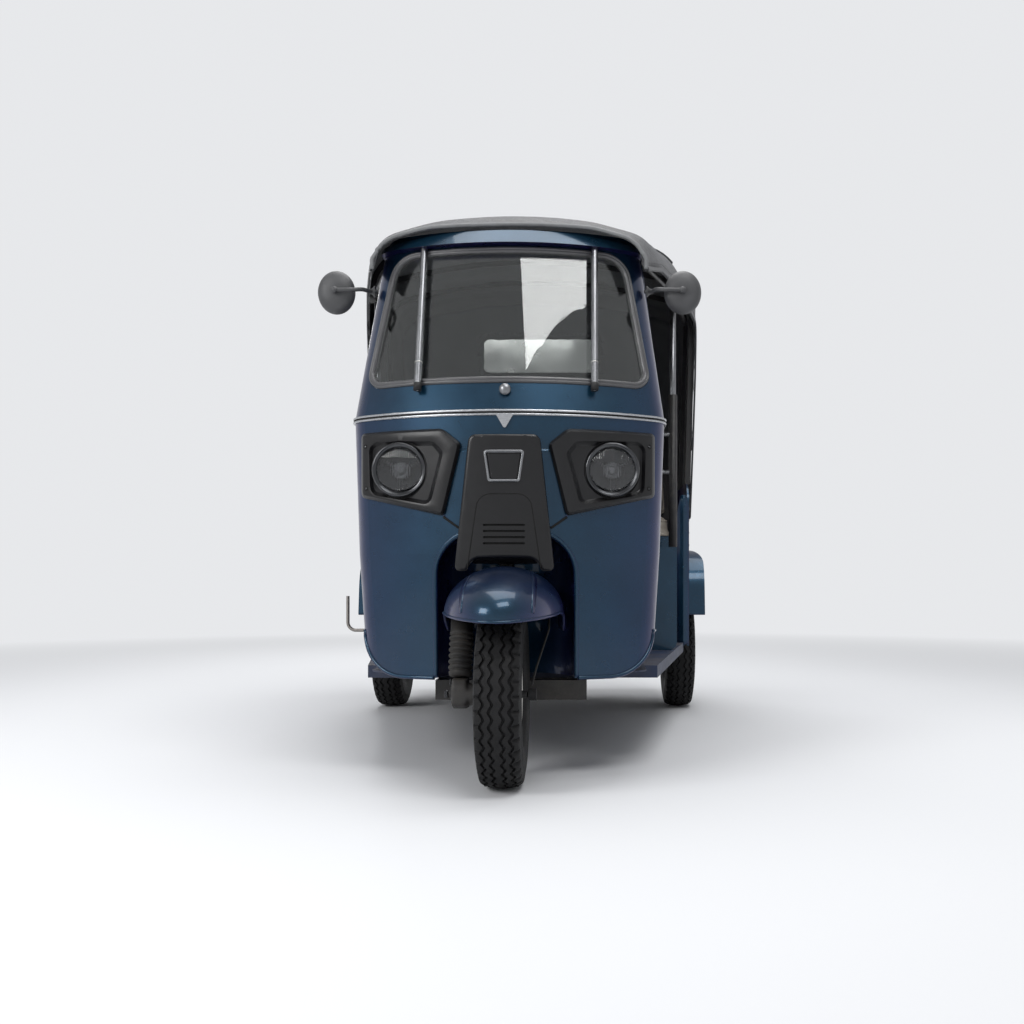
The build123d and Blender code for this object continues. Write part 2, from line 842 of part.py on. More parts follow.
# ---------------------------------------------------------------- engine lid, hinged at its top edge
hinge_height = lid_high + 14.0
hinge_y = behind(tub_rear) + 9.0
with BuildPart() as engine_lid:
    add(
        block(
            (-lid_half + 5, lid_half - 5),
            (behind(tub_rear) - tub_wall, behind(tub_rear)),
            (lid_low + 5, lid_high - 5),
        )
    )
    add(
        block((-lid_half + 30, lid_half - 30), (behind(tub_rear) - 1, behind(tub_rear) + 4), (lid_low + 30, lid_high - 5))
    )
    for x in (-200.0, 200.0):
        add(block((x - 28, x + 28), (behind(tub_rear) + 1, behind(tub_rear) + 6), (lid_high - 40, hinge_height)))
        add(rod_along_x(hinge_y, hinge_height, x - 28, x + 28, 8))
    for x in (-200.0, 200.0):
        add(rod_along_x(hinge_y, hinge_height, x - 40, x + 40, 4.5), mode=Mode.SUBTRACT)
save(engine_lid.part, "engine_lid")

with BuildPart() as lid_hinges:
    for x in (-200.0, 200.0):
        add(rod_along_x(hinge_y, hinge_height, x - 52, x + 52, 4))
        for end in (-46.0, 46.0):
            add(
                block(
                    (x + end - 6, x + end + 6),
                    (behind(tub_rear) + fit_gap, hinge_y + 6),
                    (hinge_height - 8, hinge_height + 8),
                )
            )
save(lid_hinges.part, "lid_hinges")

# ---------------------------------------------------------------- passenger seat
with BuildPart() as passenger_cushion:
    with BuildSketch(Plane.XY.offset(deck_top + fit_gap)):
        with Locations((0, behind(1780))):
            RectangleRounded(1180, 470, 50)
    extrude(amount=96)
    fillet(passenger_cushion.edges().group_by(Axis.Z)[-1], 26)
save(passenger_cushion.part, "passenger_cushion")

with BuildPart() as passenger_backrest:
    add(
        side_prism(
            [
                (behind(1990), deck_top + 96 + fit_gap),
                (behind(2078), deck_top + 96 + fit_gap),
                (behind(2168), 1237),
                (behind(2088), 1237),
            ],
            [14, 10, 30, 34],
            -600,
            600,
        )
    )
save(passenger_backrest.part, "passenger_backrest")

with BuildPart() as backrest_board:
    add(
        side_prism(
            [
                (behind(2078.4), deck_top + fit_gap),
                (behind(2090), deck_top + fit_gap),
                (behind(2090), deck_top + 96),
                (behind(2179), 1225),
                (behind(2165.6), 1225),
                (behind(2078.4), deck_top + 96),
            ],
            [0, 0, 0, 0, 0, 0],
            -610,
            610,
        )
    )
save(backrest_board.part, "backrest_board")

# ---------------------------------------------------------------- hood
# Sections of the canvas: distance behind the front axle, foot and shoulder half widths, shoulder and crown heights,
# shoulder radius.
HOOD_SECTIONS = [
    (226.0, 406.0, 406.0, 1590.0, 1614.0, 85.0),
    (450.0, 450.0, 450.0, 1640.0, 1702.0, 110.0),
    (1100.0, 585.0, 585.0, 1755.0, 1862.0, 170.0),
    (1620.0, 664.0, 690.0, 1800.0, 1906.0, 135.0),
    (2240.0, 664.0, 702.0, 1822.0, 1930.0, 130.0),
    (2650.0, 664.0, 684.0, 1770.0, 1876.0, 130.0),
]
hood_foot = 780.0


def hood_level(place, foot_half, shoulder_half, shoulder, crown, radius, inset):
    """One closed section of the canvas across the vehicle, taken in by inset."""
    foot = foot_half - inset
    half = shoulder_half - inset
    with BuildSketch(Plane.XZ.offset(-behind(place))) as level:
        with BuildLine():
            ThreePointArc((-half, shoulder - inset), (0, crown - inset), (half, shoulder - inset))
            Polyline((half, shoulder - inset), (foot, hood_foot), (-foot, hood_foot), (-half, shoulder - inset))
        make_face()
        fillet(level.vertices().sort_by(Axis.Y)[2:], radius - inset)
    return level.sketch


def hood_form(inset):
    """The hood's outer form taken in by inset, as one solid."""
    with BuildPart() as form:
        loft(sections=[hood_level(*section, inset) for section in HOOD_SECTIONS], ruled=True)
    return form.part


hood_front = 232.0
hood_tail_high = 2430.0
hood_tail_low = 2582.0
hood_tail_knee = 930.0
hood_tail_bottom = 900.0
hood_side_front = 1640.0
hood_top = overall_width + 540


def tail_cut(inset):
    """Everything in front of the hood's sloping tail, taken in by inset."""
    return side_prism(
        [
            (behind(100), 700),
            (behind(hood_tail_low) - inset, 700),
            (behind(hood_tail_low) - inset, hood_tail_knee),
            (behind(hood_tail_high) - inset, hood_top),
            (behind(100), hood_top),
        ],
        [0, 0, 0, 0, 0],
        -800,
        800,
    )


def hood_plan(inset):
    """The hood's plan outline with its rounded tail corners, taken in by inset."""
    half = 704 - inset
    rear = behind(hood_tail_low) - inset
    with BuildPart() as plan_form:
        with BuildSketch(Plane.XY.offset(600)) as plan:
            with BuildLine():
                Polyline((-half, behind(0)), (half, behind(0)), (half, rear), (-half, rear), close=True)
            make_face()
            fillet(plan.vertices().sort_by(Axis.Y)[2:], 150 - inset)
        extrude(amount=1500)
    return plan_form.part


hem_line = side_prism(
    [
        (behind(hood_front), 1478),
        (behind(560), 1560),
        (behind(1000), 1612),
        (behind(hood_side_front - 46), 1618),
        (behind(hood_side_front + 34), hood_side_bottom),
        (behind(2440), hood_side_bottom),
        (behind(2480), hood_tail_bottom),
        (behind(2700), hood_tail_bottom),
        (behind(2700), hood_top),
        (behind(hood_front), hood_top),
    ],
    [0, 0, 0, 100, 20, 20, 20, 0, 0, 0],
    -800,
    800,
)
window_half = 291.0
window_low = 1556.0
window_high = 1746.0


def window_prism(inset):
    """The rear window opening taken in by inset, as a prism through the hood's tail."""
    half = window_half - inset
    low = window_low + inset
    high = window_high - inset
    radius = 46 - inset
    return front_prism(
        [(-half, low), (half, low), (half, high), (-half, high)], [radius] * 4, behind(2350), behind(2620)
    )


hood_inner = hood_form(hood_wall)
with BuildPart() as hood_canopy:
    add(hood_form(0.0))
    add(tail_cut(0.0), mode=Mode.INTERSECT)
    add(hood_plan(0.0), mode=Mode.INTERSECT)
    add(hood_inner & tail_cut(hood_wall) & hood_plan(hood_wall), mode=Mode.SUBTRACT)
    add(hem_line, mode=Mode.INTERSECT)
    add(window_prism(0.0), mode=Mode.SUBTRACT)
save(hood_canopy.part, "hood_canopy")

with BuildPart() as rear_window:
    add(tail_cut(2.5))
    add(tail_cut(5.5), mode=Mode.SUBTRACT)
    add(window_prism(fit_gap), mode=Mode.INTERSECT)
save(rear_window.part, "rear_window")

# bows under the canvas: place, foot height
BOWS = [(partition_place + 9.0, 1588.0), (1662.0, tub_top), (2060.0, tub_top)]
bow_depth = 20.0
bow_half_width = 9.0
bow_outer = hood_form(hood_wall + fit_gap)
bow_inner = hood_form(hood_wall + bow_depth)
with BuildPart() as hood_bows:
    for place, foot in BOWS:
        slab = block(
            (-800, 800), (behind(place - bow_half_width), behind(place + bow_half_width)), (foot + fit_gap, 2000)
        )
        add((bow_outer & slab) - bow_inner)
    for side in (-1, 1):
        rail = tube(
            [
                (side * 384, behind(404), 1560),
                (side * 386, behind(460), 1580),
                (side * 556, behind(BOWS[0][0] - 4), 1612),
                (side * 640, behind(BOWS[1][0]), 1632),
            ],
            9,
            bend=60,
        )
        add(rail - outer_form)
save(hood_bows.part, "hood_bows")

# ---------------------------------------------------------------- power unit and rear suspension
with BuildPart() as engine_block:
    add(block((-190, 190), (behind(1760), behind(2300)), (floor_bottom + 40, 585)))
    chamfer(engine_block.edges().filter_by(Axis.Z), 50)
    add(block((-150, 150), (behind(1800), behind(2120)), (180, floor_bottom + 41)))
save(engine_block.part, "engine_block")

arm_pivot_y = behind(1580)
arm_pivot_z = chassis_top - rail_height / 2
arm_place = 500.0
arm_radius = 26.0
shaft_height = 277.0
with BuildPart() as rear_suspension:
    for side in (-1, 1):
        pivot_out = side * (rail_place + rail_width / 2 + fit_gap)
        add(rod_along_x(arm_pivot_y, arm_pivot_z, min(pivot_out, side * 262), max(pivot_out, side * 262), 34))
        add(
            tube(
                [
                    (side * 250, arm_pivot_y, arm_pivot_z),
                    (side * 470, arm_pivot_y + 60, arm_pivot_z + 8),
                    (side * arm_place, rear_axle_y - 130, tyre_radius),
                    (side * arm_place, rear_axle_y + 10, tyre_radius),
                ],
                arm_radius,
                bend=50,
            )
        )
        add(rod_along_x(rear_axle_y, tyre_radius, min(side * 490, side * 556), max(side * 490, side * 556), 44))
        add(
            rod_along_x(
                rear_axle_y, tyre_radius, min(side * 550, side * 664), max(side * 550, side * 664), axle_radius
            )
        )
        add(rod_along_x(rear_axle_y, shaft_height, min(side * 150.3, side * 490), max(side * 150.3, side * 490), 12))
save(rear_suspension.part, "rear_suspension")

damper_y = rear_axle_y - 72
with BuildPart() as rear_dampers:
    for side in (-1, 1):
        x = side * arm_place
        low = tyre_radius + arm_radius - 2
        add(rod_along_z(x, damper_y, low, 420, 20))
        add(rod_along_z(x, damper_y, 400, 660, 27))
        add(rod_along_z(x, damper_y, 650, deck_top - 16 - fit_gap, 16))
    add(tube([(-arm_place, damper_y - 60, tyre_radius), (-arm_place, damper_y + 60, tyre_radius)], arm_radius + 0.3),
        mode=Mode.SUBTRACT)
    add(tube([(arm_place, damper_y - 60, tyre_radius), (arm_place, damper_y + 60, tyre_radius)], arm_radius + 0.3),
        mode=Mode.SUBTRACT)
save(rear_dampers.part, "rear_dampers")

with BuildPart() as exhaust:
    add(rod_along_x(behind(2372), 335, -160, 160, 52))
    add(rod_along_y(0, 335, behind(2300) + fit_gap, behind(2350), 20))
    add(
        tube(
            [(-150, behind(2372), 335), (-310, behind(2372), 335), (-310, behind(2470), 242), (-310, behind(2566), 242)],
            17,
            bend=45,
        )
    )
save(exhaust.part, "exhaust")

# ---------------------------------------------------------------- tail
tub_face = behind(tub_rear) + fit_gap
bumper_height = 290.0
with BuildPart() as rear_bumper:
    add(
        tube(
            [
                (-600, behind(2470), bumper_height),
                (-590, tail_y - 17, bumper_height),
                (590, tail_y - 17, bumper_height),
                (600, behind(2470), bumper_height),
            ],
            17,
            bend=70,
        )
    )
    for side in (-1, 1):
        x_range = (side * rail_place - 14, side * rail_place + 14)
        add(block(x_range, (behind(2440) + fit_gap, tail_y - 20), (246, bumper_height + 8)))
save(rear_bumper.part, "rear_bumper")

with BuildPart() as tail_lamps:
    for side in (-1, 1):
        with BuildSketch(Plane.XZ.offset(-tub_face)):
            with Locations((side * 470, 810)):
                RectangleRounded(126, 92, 16)
        extrude(amount=-26)
save(tail_lamps.part, "tail_lamps")

with BuildPart() as number_plate:
    with BuildSketch(Plane.XZ.offset(-tub_face)):
        with Locations((0, plate_height)):
            RectangleRounded(340, 110, 8)
        with Locations((-plate_hole_spacing / 2, plate_height + 38), (plate_hole_spacing / 2, plate_height + 38)):
            Circle(plate_hole_radius, mode=Mode.SUBTRACT)
    extrude(amount=-2.5)
save(number_plate.part, "number_plate")

with BuildPart() as mud_flaps:
    for side in (-1, 1):
        x_range = (min(side * 566, side * 647), max(side * 566, side * 647))
        add(block(x_range, (behind(2264), behind(2269)), (196, tub_bottom - fit_gap)))
save(mud_flaps.part, "mud_flaps")

eye_height = 222.0
eye_radius = 12.0
with BuildPart() as tow_eye:
    add(block((-9, 9), (behind(2440) + fit_gap, behind(2476)), (eye_height - 20, eye_height + 20)))
    add(rod_along_x(behind(2476), eye_height, -9, 9, 24))
    add(rod_along_x(behind(2476), eye_height, -10, 10, eye_radius), mode=Mode.SUBTRACT)
save(tow_eye.part, "tow_eye")

# ---------------------------------------------------------------- side panel, hooked rod, pedal, box under the floor
side_low = 284.0
side_high = 681.0
with BuildPart() as side_panel:
    with BuildSketch(Plane.XY.offset(side_low)):
        with BuildLine():
            Polyline(
                (-558.0, behind(1108.4)),
                (-572.0, behind(1108.4)),
                (-639.2, behind(1547.0)),
                (-625.2, behind(1547.0)),
                close=True,
            )
        make_face()
    extrude(amount=side_high - side_low)
save(side_panel.part, "side_panel")

with BuildPart() as side_rod:
    add(
        tube(
            [
                (-562.4, partition_y + 9, 373),
                (-658, partition_y + 9, 373),
                (-658, partition_y + 9, 500),
            ],
            6,
            bend=30,
        )
    )
save(side_rod.part, "side_rod")

with BuildPart() as brake_pedal:
    add(block((128, 152), (behind(352), behind(386)), (floor_top + fit_gap, floor_top + 14)))
    add(tube([(140, behind(372), floor_top + 6), (140, behind(352), 352), (140, behind(336), 392)], 7, bend=12))
    add(block((112, 168), (behind(326), behind(344)), (380, 424)))
save(brake_pedal.part, "brake_pedal")

with BuildPart() as underfloor_box:
    add(block((45, 165), (behind(560), behind(700)), (212, floor_top - floor_plate - fit_gap)))
save(underfloor_box.part, "underfloor_box")

# ---------------------------------------------------------------- wheels
TYRE_PROFILE = [
    (-47.0, rim_radius + fit_gap),
    (-63.0, 195.0),
    (-56.0, 238.0),
    (-34.0, tyre_radius),
    (34.0, tyre_radius),
    (56.0, 238.0),
    (63.0, 195.0),
    (47.0, rim_radius + fit_gap),
]


def ring_body(profile, x, y, outboard):
    """Turns a section given as places along the axle and radii around a wheel's axis."""
    with BuildPart() as ring:
        with BuildSketch(Plane.XZ.offset(-y)):
            with BuildLine():
                Polyline(*[(x + outboard * along, tyre_radius + radius) for along, radius in profile], close=True)
            make_face()
        revolve(axis=Axis((x, y, tyre_radius), (1, 0, 0)))
    return ring.part


RIM_PROFILE = [
    (-46.0, 131.0),
    (46.0, 131.0),
    (46.0, 124.0),
    (14.0, 112.0),
    (12.0, 38.0),
    (5.0, 38.0),
    (5.0, 110.0),
    (-40.0, 121.0),
    (-46.0, 124.0),
]
DRUM_PROFILE = [
    (-42.0, axle_radius + fit_gap),
    (-42.0, drum_radius),
    (-8.0, drum_radius),
    (5.7, 70.0),
    (5.7, 45.0),
    (26.0, 40.0),
    (26.0, axle_radius + fit_gap),
]
WHEELS = [
    ("front", 0.0, front_axle_y, 1),
    ("rear_left", rear_wheel_x, rear_axle_y, 1),
    ("rear_right", -rear_wheel_x, rear_axle_y, -1),
]
for wheel_name, wheel_x, wheel_y, outboard in WHEELS:
    with BuildPart() as tyre:
        add(ring_body(TYRE_PROFILE, wheel_x, wheel_y, outboard))
    save(tyre.part, f"{wheel_name}_tyre")
    with BuildPart() as rim:
        add(ring_body(RIM_PROFILE, wheel_x, wheel_y, outboard))
        add(ring_body(DRUM_PROFILE, wheel_x, wheel_y, outboard))
    save(rim.part, f"{wheel_name}_rim")

# ---------------------------------------------------------------- front fork
crown_low = 498.0
crown_high = 530.0
with BuildPart() as front_fork:
    add(along_column(crown_low + 4, handlebar_height + 8, column_radius))
    add(block((-139, 28), (behind(88), behind(140)), (crown_low, crown_high)))
    add(block((-139, -97), (behind(38), behind(140)), (crown_low, crown_high)))
    add(tube([(fork_side, behind(113), crown_low + 4), (fork_side, behind(56), 244)], 19))
save(front_fork.part, "front_fork")

LINK_OUTLINE = [(-30, 226), (-30, 276), (-14, 298), (22, 298), (76, 282), (86, 226), (60, 210), (0, 214)]
with BuildPart() as front_link:
    outline = [(behind(place), height) for place, height in LINK_OUTLINE]
    add(side_prism(outline, [14, 14, 8, 8, 14, 14, 10, 10], -140, -97))
    add(rod_along_x(front_axle_y, tyre_radius, -98, -49, 30))
    add(rod_along_x(front_axle_y, tyre_radius, -54, -49, 88))
    add(rod_along_x(front_axle_y, tyre_radius, -152, 70, axle_radius))
    add(tube([(fork_side, behind(113), crown_low + 4), (fork_side, behind(50), 217)], 19 + fit_gap), mode=Mode.SUBTRACT)
save(front_link.part, "front_link")

# damper with its ribbed boot, turned about its own axis: distance up from its foot, radius
DAMPER_PROFILE = [(0, 0), (0, 25), (22, 27), (26, 24)]
for rib in range(7):
    DAMPER_PROFILE += [(31.0 + 13.0 * rib, 32.0), (37.5 + 13.0 * rib, 26.0)]
DAMPER_PROFILE += [(120.0, 29.0), (124.0, 25.0), (203.0, 25.0), (203.0, 0)]
damper_foot = (behind(2), 298 + fit_gap + 7)
damper_head = (behind(63), crown_low - fit_gap - 7)
with BuildPart() as front_damper:
    lean = Vector(0, damper_head[0] - damper_foot[0], damper_head[1] - damper_foot[1])
    damper_plane = Plane(origin=(fork_side, damper_foot[0], damper_foot[1] - 8), x_dir=(1, 0, 0), z_dir=lean)
    turning_plane = Plane(origin=damper_plane.origin, x_dir=(1, 0, 0), z_dir=damper_plane.y_dir * -1)
    with BuildSketch(turning_plane):
        with BuildLine():
            Polyline(*[(radius, along) for along, radius in DAMPER_PROFILE], close=True)
        make_face()
    revolve(axis=Axis(damper_plane.origin, damper_plane.z_dir))
    add(
        block((-200, 0), (behind(-100), behind(200)), (298 + fit_gap, crown_low - fit_gap)), mode=Mode.INTERSECT
    )
save(front_damper.part, "front_damper")

# ---------------------------------------------------------------- front fender
dome_place = 60.0
dome_half = 165.0
dome_length = dome_place + front_overhang
dome_wall = 4.0
LIP = [(-290, 462), (-240, 467), (-45, 480), (30, 470), (100, 424), (206, 424), (206, 700), (-290, 700)]


def fender_dome(inset):
    """The front fender's domed form with straight skirts, taken in by inset."""
    with BuildPart() as dome:
        Sphere(1.0)
        scale(by=(dome_half - inset, dome_length - inset, front_fender_rise - inset))
    with BuildPart() as form:
        with Locations((0, behind(dome_place), front_fender_base)):
            add(dome.part)
        with BuildSketch(Plane.XY.offset(front_fender_base - 60)):
            with Locations((0, behind(dome_place))):
                Ellipse(dome_half - inset, dome_length - inset)
        extrude(amount=60)
        add(block((-300, 300), (behind(-400), behind(600)), (front_fender_base - 60, 800)), mode=Mode.INTERSECT)
    return form.part


with BuildPart() as front_fender:
    add(fender_dome(0.0))
    add(fender_dome(dome_wall), mode=Mode.SUBTRACT)
    add(
        side_prism([(behind(place), height) for place, height in LIP], [0, 0, 60, 60, 40, 0, 0, 0], -300, 300),
        mode=Mode.INTERSECT,
    )
    add(along_column(400, 700, column_radius + fit_gap), mode=Mode.SUBTRACT)
save(front_fender.part, "front_fender")

# ---------------------------------------------------------------- handlebar
bar_y = steering_y(handlebar_height)
with BuildPart() as handlebar:
    add(
        tube(
            [
                (-290, bar_y + 108, handlebar_height - 8),
                (-110, bar_y + 8, handlebar_height + 22),
                (110, bar_y + 8, handlebar_height + 22),
                (290, bar_y + 108, handlebar_height - 8),
            ],
            11,
            bend=60,
        )
    )
    add(along_column(handlebar_height + 8.3, handlebar_height + 30, column_radius))
    for side in (-1, 1):
        start = Vector(side * 290, bar_y + 108, handlebar_height - 8)
        span = (Vector(side * 110, bar_y + 8, handlebar_height + 22) - start).normalized()
        add(tube([tuple(start - span * 4), tuple(start + span * 105)], 16))
save(handlebar.part, "handlebar")

with BuildPart() as speed_cable:
    add(
        tube(
            [
                (28 + fit_gap, behind(112), 514),
                (124, behind(108), 514),
                (124, behind(60), 430),
                (92, behind(20), 330),
                (79, behind(2), 279),
            ],
            3,
            bend=28,
        )
    )
    add(rod_along_x(front_axle_y, tyre_radius, 70 + fit_gap, 92, 17))
save(speed_cable.part, "speed_cable")
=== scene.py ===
"""Dresses a packed auto rickshaw: paint, canvas, seats, tyres, lamps and small fittings over its fixed frame.

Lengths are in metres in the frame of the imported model: X to the vehicle's left, Y from nose to tail, Z up.
The cab's and the hood's helpers take millimetres, heights from the ground and places behind the front axle.
"""

import math
from contextlib import contextmanager

import bmesh
import bpy
from bpy.props import FloatProperty, FloatVectorProperty, IntProperty, PointerProperty
from mathutils import Matrix, Vector, noise
from mathutils.bvhtree import BVHTree


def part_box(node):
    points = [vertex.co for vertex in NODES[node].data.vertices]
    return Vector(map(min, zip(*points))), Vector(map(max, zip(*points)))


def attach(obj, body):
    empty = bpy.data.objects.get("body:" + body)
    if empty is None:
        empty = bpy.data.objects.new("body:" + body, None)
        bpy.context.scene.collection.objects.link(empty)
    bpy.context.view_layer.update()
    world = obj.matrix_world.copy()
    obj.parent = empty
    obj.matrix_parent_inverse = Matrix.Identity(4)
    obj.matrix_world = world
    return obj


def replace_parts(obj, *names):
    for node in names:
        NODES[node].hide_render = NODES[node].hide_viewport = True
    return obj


bl_info = {
    "name": "Auto Rickshaw Dressing",
    "version": (1, 0, 0),
    "blender": (4, 5, 0),
    "location": "View3D > Sidebar > Rickshaw",
    "description": "Finishes and fittings for a three-wheeled passenger vehicle",
    "category": "Object",
}

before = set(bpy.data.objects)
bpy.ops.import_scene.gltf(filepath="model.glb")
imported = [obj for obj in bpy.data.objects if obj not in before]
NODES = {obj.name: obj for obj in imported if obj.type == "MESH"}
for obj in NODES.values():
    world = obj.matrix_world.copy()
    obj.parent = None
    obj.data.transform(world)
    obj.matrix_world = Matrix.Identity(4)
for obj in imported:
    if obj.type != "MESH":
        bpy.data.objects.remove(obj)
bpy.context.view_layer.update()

X, Y, Z = Vector((1, 0, 0)), Vector((0, 1, 0)), Vector((0, 0, 1))
SIDES = ((1, "left"), (-1, "right"))
FRONT_AXLE = -1.162
REAR_AXLE = 0.758
TYRE_RADIUS = 0.2535
HUBS = {
    # wheel: body, x, y, way out
    "front": ("front_wheel", 0.0, FRONT_AXLE, 1),
    "rear_left": ("rear_wheel_left", 0.627, REAR_AXLE, 1),
    "rear_right": ("rear_wheel_right", -0.627, REAR_AXLE, -1),
}


# ---------------------------------------------------------------- settings
def colour(name, description, default):
    """A colour setting."""
    return FloatVectorProperty(
        name=name, description=description, subtype="COLOR", size=4, min=0, max=1, default=(*default, 1)
    )


def length(name, description, default, low, high):
    """A length setting, in metres."""
    return FloatProperty(name=name, description=description, unit="LENGTH", default=default, min=low, max=high)


class PaintSettings(bpy.types.PropertyGroup):
    # Painted light and shade by facing: the lighter front colour goes on faces that point forward or up, the darker,
    # more violet side colour on faces that point sideways.
    lit_front_colour: colour("Lit front colour", "Body paint where it faces forward", (0.005, 0.032, 0.064))
    shaded_side_colour: colour("Shaded side colour", "Body paint where it faces sideways", (0.013, 0.012, 0.082))
    flake_size: length("Flake size", "Width of one metal flake patch", 0.0016, 0.0002, 0.02)
    dust_height: length("Dust height", "Height that road dust reaches", 0.42, 0, 2)


class ClothSettings(bpy.types.PropertyGroup):
    canvas_colour: colour("Canvas colour", "Coated cloth of the hood", (0.033, 0.035, 0.04))
    bead_colour: colour("Bead colour", "Rolled bead along the hood's front edge", (0.17, 0.175, 0.18))
    sag: length("Sag", "How far the canvas drops between its bows", 0.007, 0, 0.05)
    stitch_pitch: length("Stitch pitch", "Distance from stitch to stitch", 0.011, 0.003, 0.05)


class SeatSettings(bpy.types.PropertyGroup):
    driver_colour: colour("Driver's vinyl", "Cover of the driver's seat", (0.105, 0.107, 0.115))
    bench_colour: colour("Bench vinyl", "Cover of the passengers' bench", (0.30, 0.27, 0.23))
    pressure: FloatProperty(
        name="Pressure", description="Air pressure while a cushion is blown up", default=4.0, min=0, max=20
    )
    frames: IntProperty(name="Frames", description="Length of the cloth simulation", default=20, min=2, max=60)


class TyreSettings(bpy.types.PropertyGroup):
    pitches: IntProperty(name="Tread pitches", description="Zigzags round one tyre", default=40, min=12, max=120)
    zigzag: length("Zigzag", "Sideways swing of a groove", 0.006, 0, 0.01)
    groove_depth: length("Groove depth", "Depth of the tread grooves", 0.0075, 0.001, 0.01)


class StageSettings(bpy.types.PropertyGroup):
    backdrop: colour("Backdrop", "Colour of the floor and of what is behind it", (0.80, 0.81, 0.83))
    key_power: FloatProperty(
        name="Key lamp", description="Power of the large front lamp", unit="POWER", default=150, min=0, max=2000
    )
    sky: FloatProperty(
        name="Sky", description="Strength of the even light from all round", default=0.45, min=0, max=3
    )


# ---------------------------------------------------------------- places on the cab
CAB_LEVELS = [(240, 421.5, 86), (640, 446, 60), (1040, 461, 60), (1626, 385, 247)]  # height, half width, nose
NOSE_RADIUS = 700
CORNER_RADIUS = 105


def back(distance):
    """Y of a place this many millimetres behind the front axle."""
    return FRONT_AXLE + distance / 1000


def cab_level(height):
    """Half width and nose place of the cab at a height, all in millimetres."""
    for low, high in zip(CAB_LEVELS, CAB_LEVELS[1:]):
        if height <= high[0]:
            share = (height - low[0]) / (high[0] - low[0])
            return low[1] + (high[1] - low[1]) * share, low[2] + (high[2] - low[2]) * share
    return CAB_LEVELS[-1][1:]


def cab_plan(height, proud=0.0):
    """The cab's half width, centre, radius, corner radius and corner's middle at a height, let out by proud."""
    half, nose = cab_level(height)
    radius, corner = NOSE_RADIUS + proud, CORNER_RADIUS + proud
    half += proud
    centre = nose + NOSE_RADIUS
    middle = (half - corner, centre - math.sqrt((radius - corner) ** 2 - (half - corner) ** 2))
    return half, centre, radius, corner, middle


def cab_point(height, x, proud=0.0):
    """A place on the cab's outer face by height and X, let out by proud, as (Vector, outward normal)."""
    half, centre, radius, corner, middle = cab_plan(height, proud)
    side = -1 if x < 0 else 1
    x = min(abs(x), half)
    if x <= middle[0] / (radius - corner) * radius:
        distance = centre - math.sqrt(radius**2 - x**2)
        normal = Vector((side * x, distance - centre, 0)).normalized()
    else:
        rise = math.sqrt(max(corner**2 - (x - middle[0]) ** 2, 0))
        distance = middle[1] - rise
        normal = Vector((side * (x - middle[0]), -rise, 0)).normalized()
    return Vector((side * x / 1000, back(distance), height / 1000)), normal


# ---------------------------------------------------------------- mesh helpers
@contextmanager
def edited(mesh, target=None):
    """A mesh open for changes, which are written back to it or to a target."""
    work = bmesh.new()
    work.from_mesh(mesh)
    yield work
    work.to_mesh(mesh if target is None else target)
    work.free()


def linked(name, mesh):
    """A new object in the scene."""
    made = bpy.data.objects.new(name, mesh)
    bpy.context.scene.collection.objects.link(made)
    return made


def shade(mesh, smooth=True):
    for face in mesh.polygons:
        face.use_smooth = smooth


def add_piece(name, mesh, finish, body, slot=None, smooth=True):
    """Links a mesh as a named piece with its finish and lets it ride on a body."""
    piece = linked(name, mesh)
    mesh.materials.clear()
    mesh.materials.append(FINISHES[finish])
    shade(mesh, smooth)
    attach(piece, body)
    return piece


def mesh_of(points, faces, name="piece"):
    """A mesh from points and faces, with its doubles merged and its normals outwards."""
    mesh = bpy.data.meshes.new(name)
    mesh.from_pydata([tuple(p) for p in points], [], faces)
    with edited(mesh) as work:
        bmesh.ops.remove_doubles(work, verts=work.verts, dist=1e-6)
        bmesh.ops.recalc_face_normals(work, faces=work.faces)
    return mesh


def add_nets(name, nets, finish, slot, body="body"):
    """Links several nets as one named piece."""
    return add_piece(name, mesh_of(*join_nets(nets)), finish, body, slot)


def net(rows, round_rows=False, round_columns=False, caps=False):
    """Points and faces of a net of rows of equal length; either way may close, and caps shut the two end rows."""
    width = len(rows[0])
    points = [p for row in rows for p in row]
    faces = []
    for r in range(len(rows) - (0 if round_columns else 1)):
        for c in range(width - (0 if round_rows else 1)):
            r2, c2 = (r + 1) % len(rows), (c + 1) % width
            faces.append((r * width + c, r * width + c2, r2 * width + c2, r2 * width + c))
    if caps:
        faces.append(tuple(range(width))[::-1])
        faces.append(tuple((len(rows) - 1) * width + c for c in range(width)))
    return points, faces


def join_nets(nets):
    """One set of points and faces from several."""
    points, faces = [], []
    for some_points, some_faces in nets:
        shift = len(points)
        points += list(some_points)
        faces += [tuple(i + shift for i in face) for face in some_faces]
    return points, faces


def circle(count, start=0.0):
    """The cosine and sine of even angles round a full turn."""
    return [(math.cos(math.tau * i / count + start), math.sin(math.tau * i / count + start)) for i in range(count)]


def turned(profile, centre=(0, 0, 0), axis=(0, 0, 1), segments=48, closed=False):
    """A profile of (along, radius) pairs turned round an axis through centre."""
    axis = Vector(axis).normalized()
    first = axis.orthogonal().normalized()
    second = axis.cross(first)
    rows = [
        [Vector(centre) + axis * along + (first * c + second * s) * radius for c, s in circle(segments)]
        for along, radius in profile
    ]
    return net(rows, round_rows=True, round_columns=closed)


def smooth_path(points, count):
    """Points at even spacing on a Catmull-Rom line through the given points."""
    points = [Vector(p) for p in points]
    last = len(points) - 1
    dense = []
    for i in range(last):
        a, b, c, d = points[max(i - 1, 0)], points[i], points[i + 1], points[min(i + 2, last)]
        for k in range(16):
            t = k / 16
            dense.append(
                0.5 * ((2 * b) + (c - a) * t + (2 * a - 5 * b + 4 * c - d) * t * t + (3 * b - a - 3 * c + d) * t**3)
            )
    return even_path([*dense, points[-1]], count)


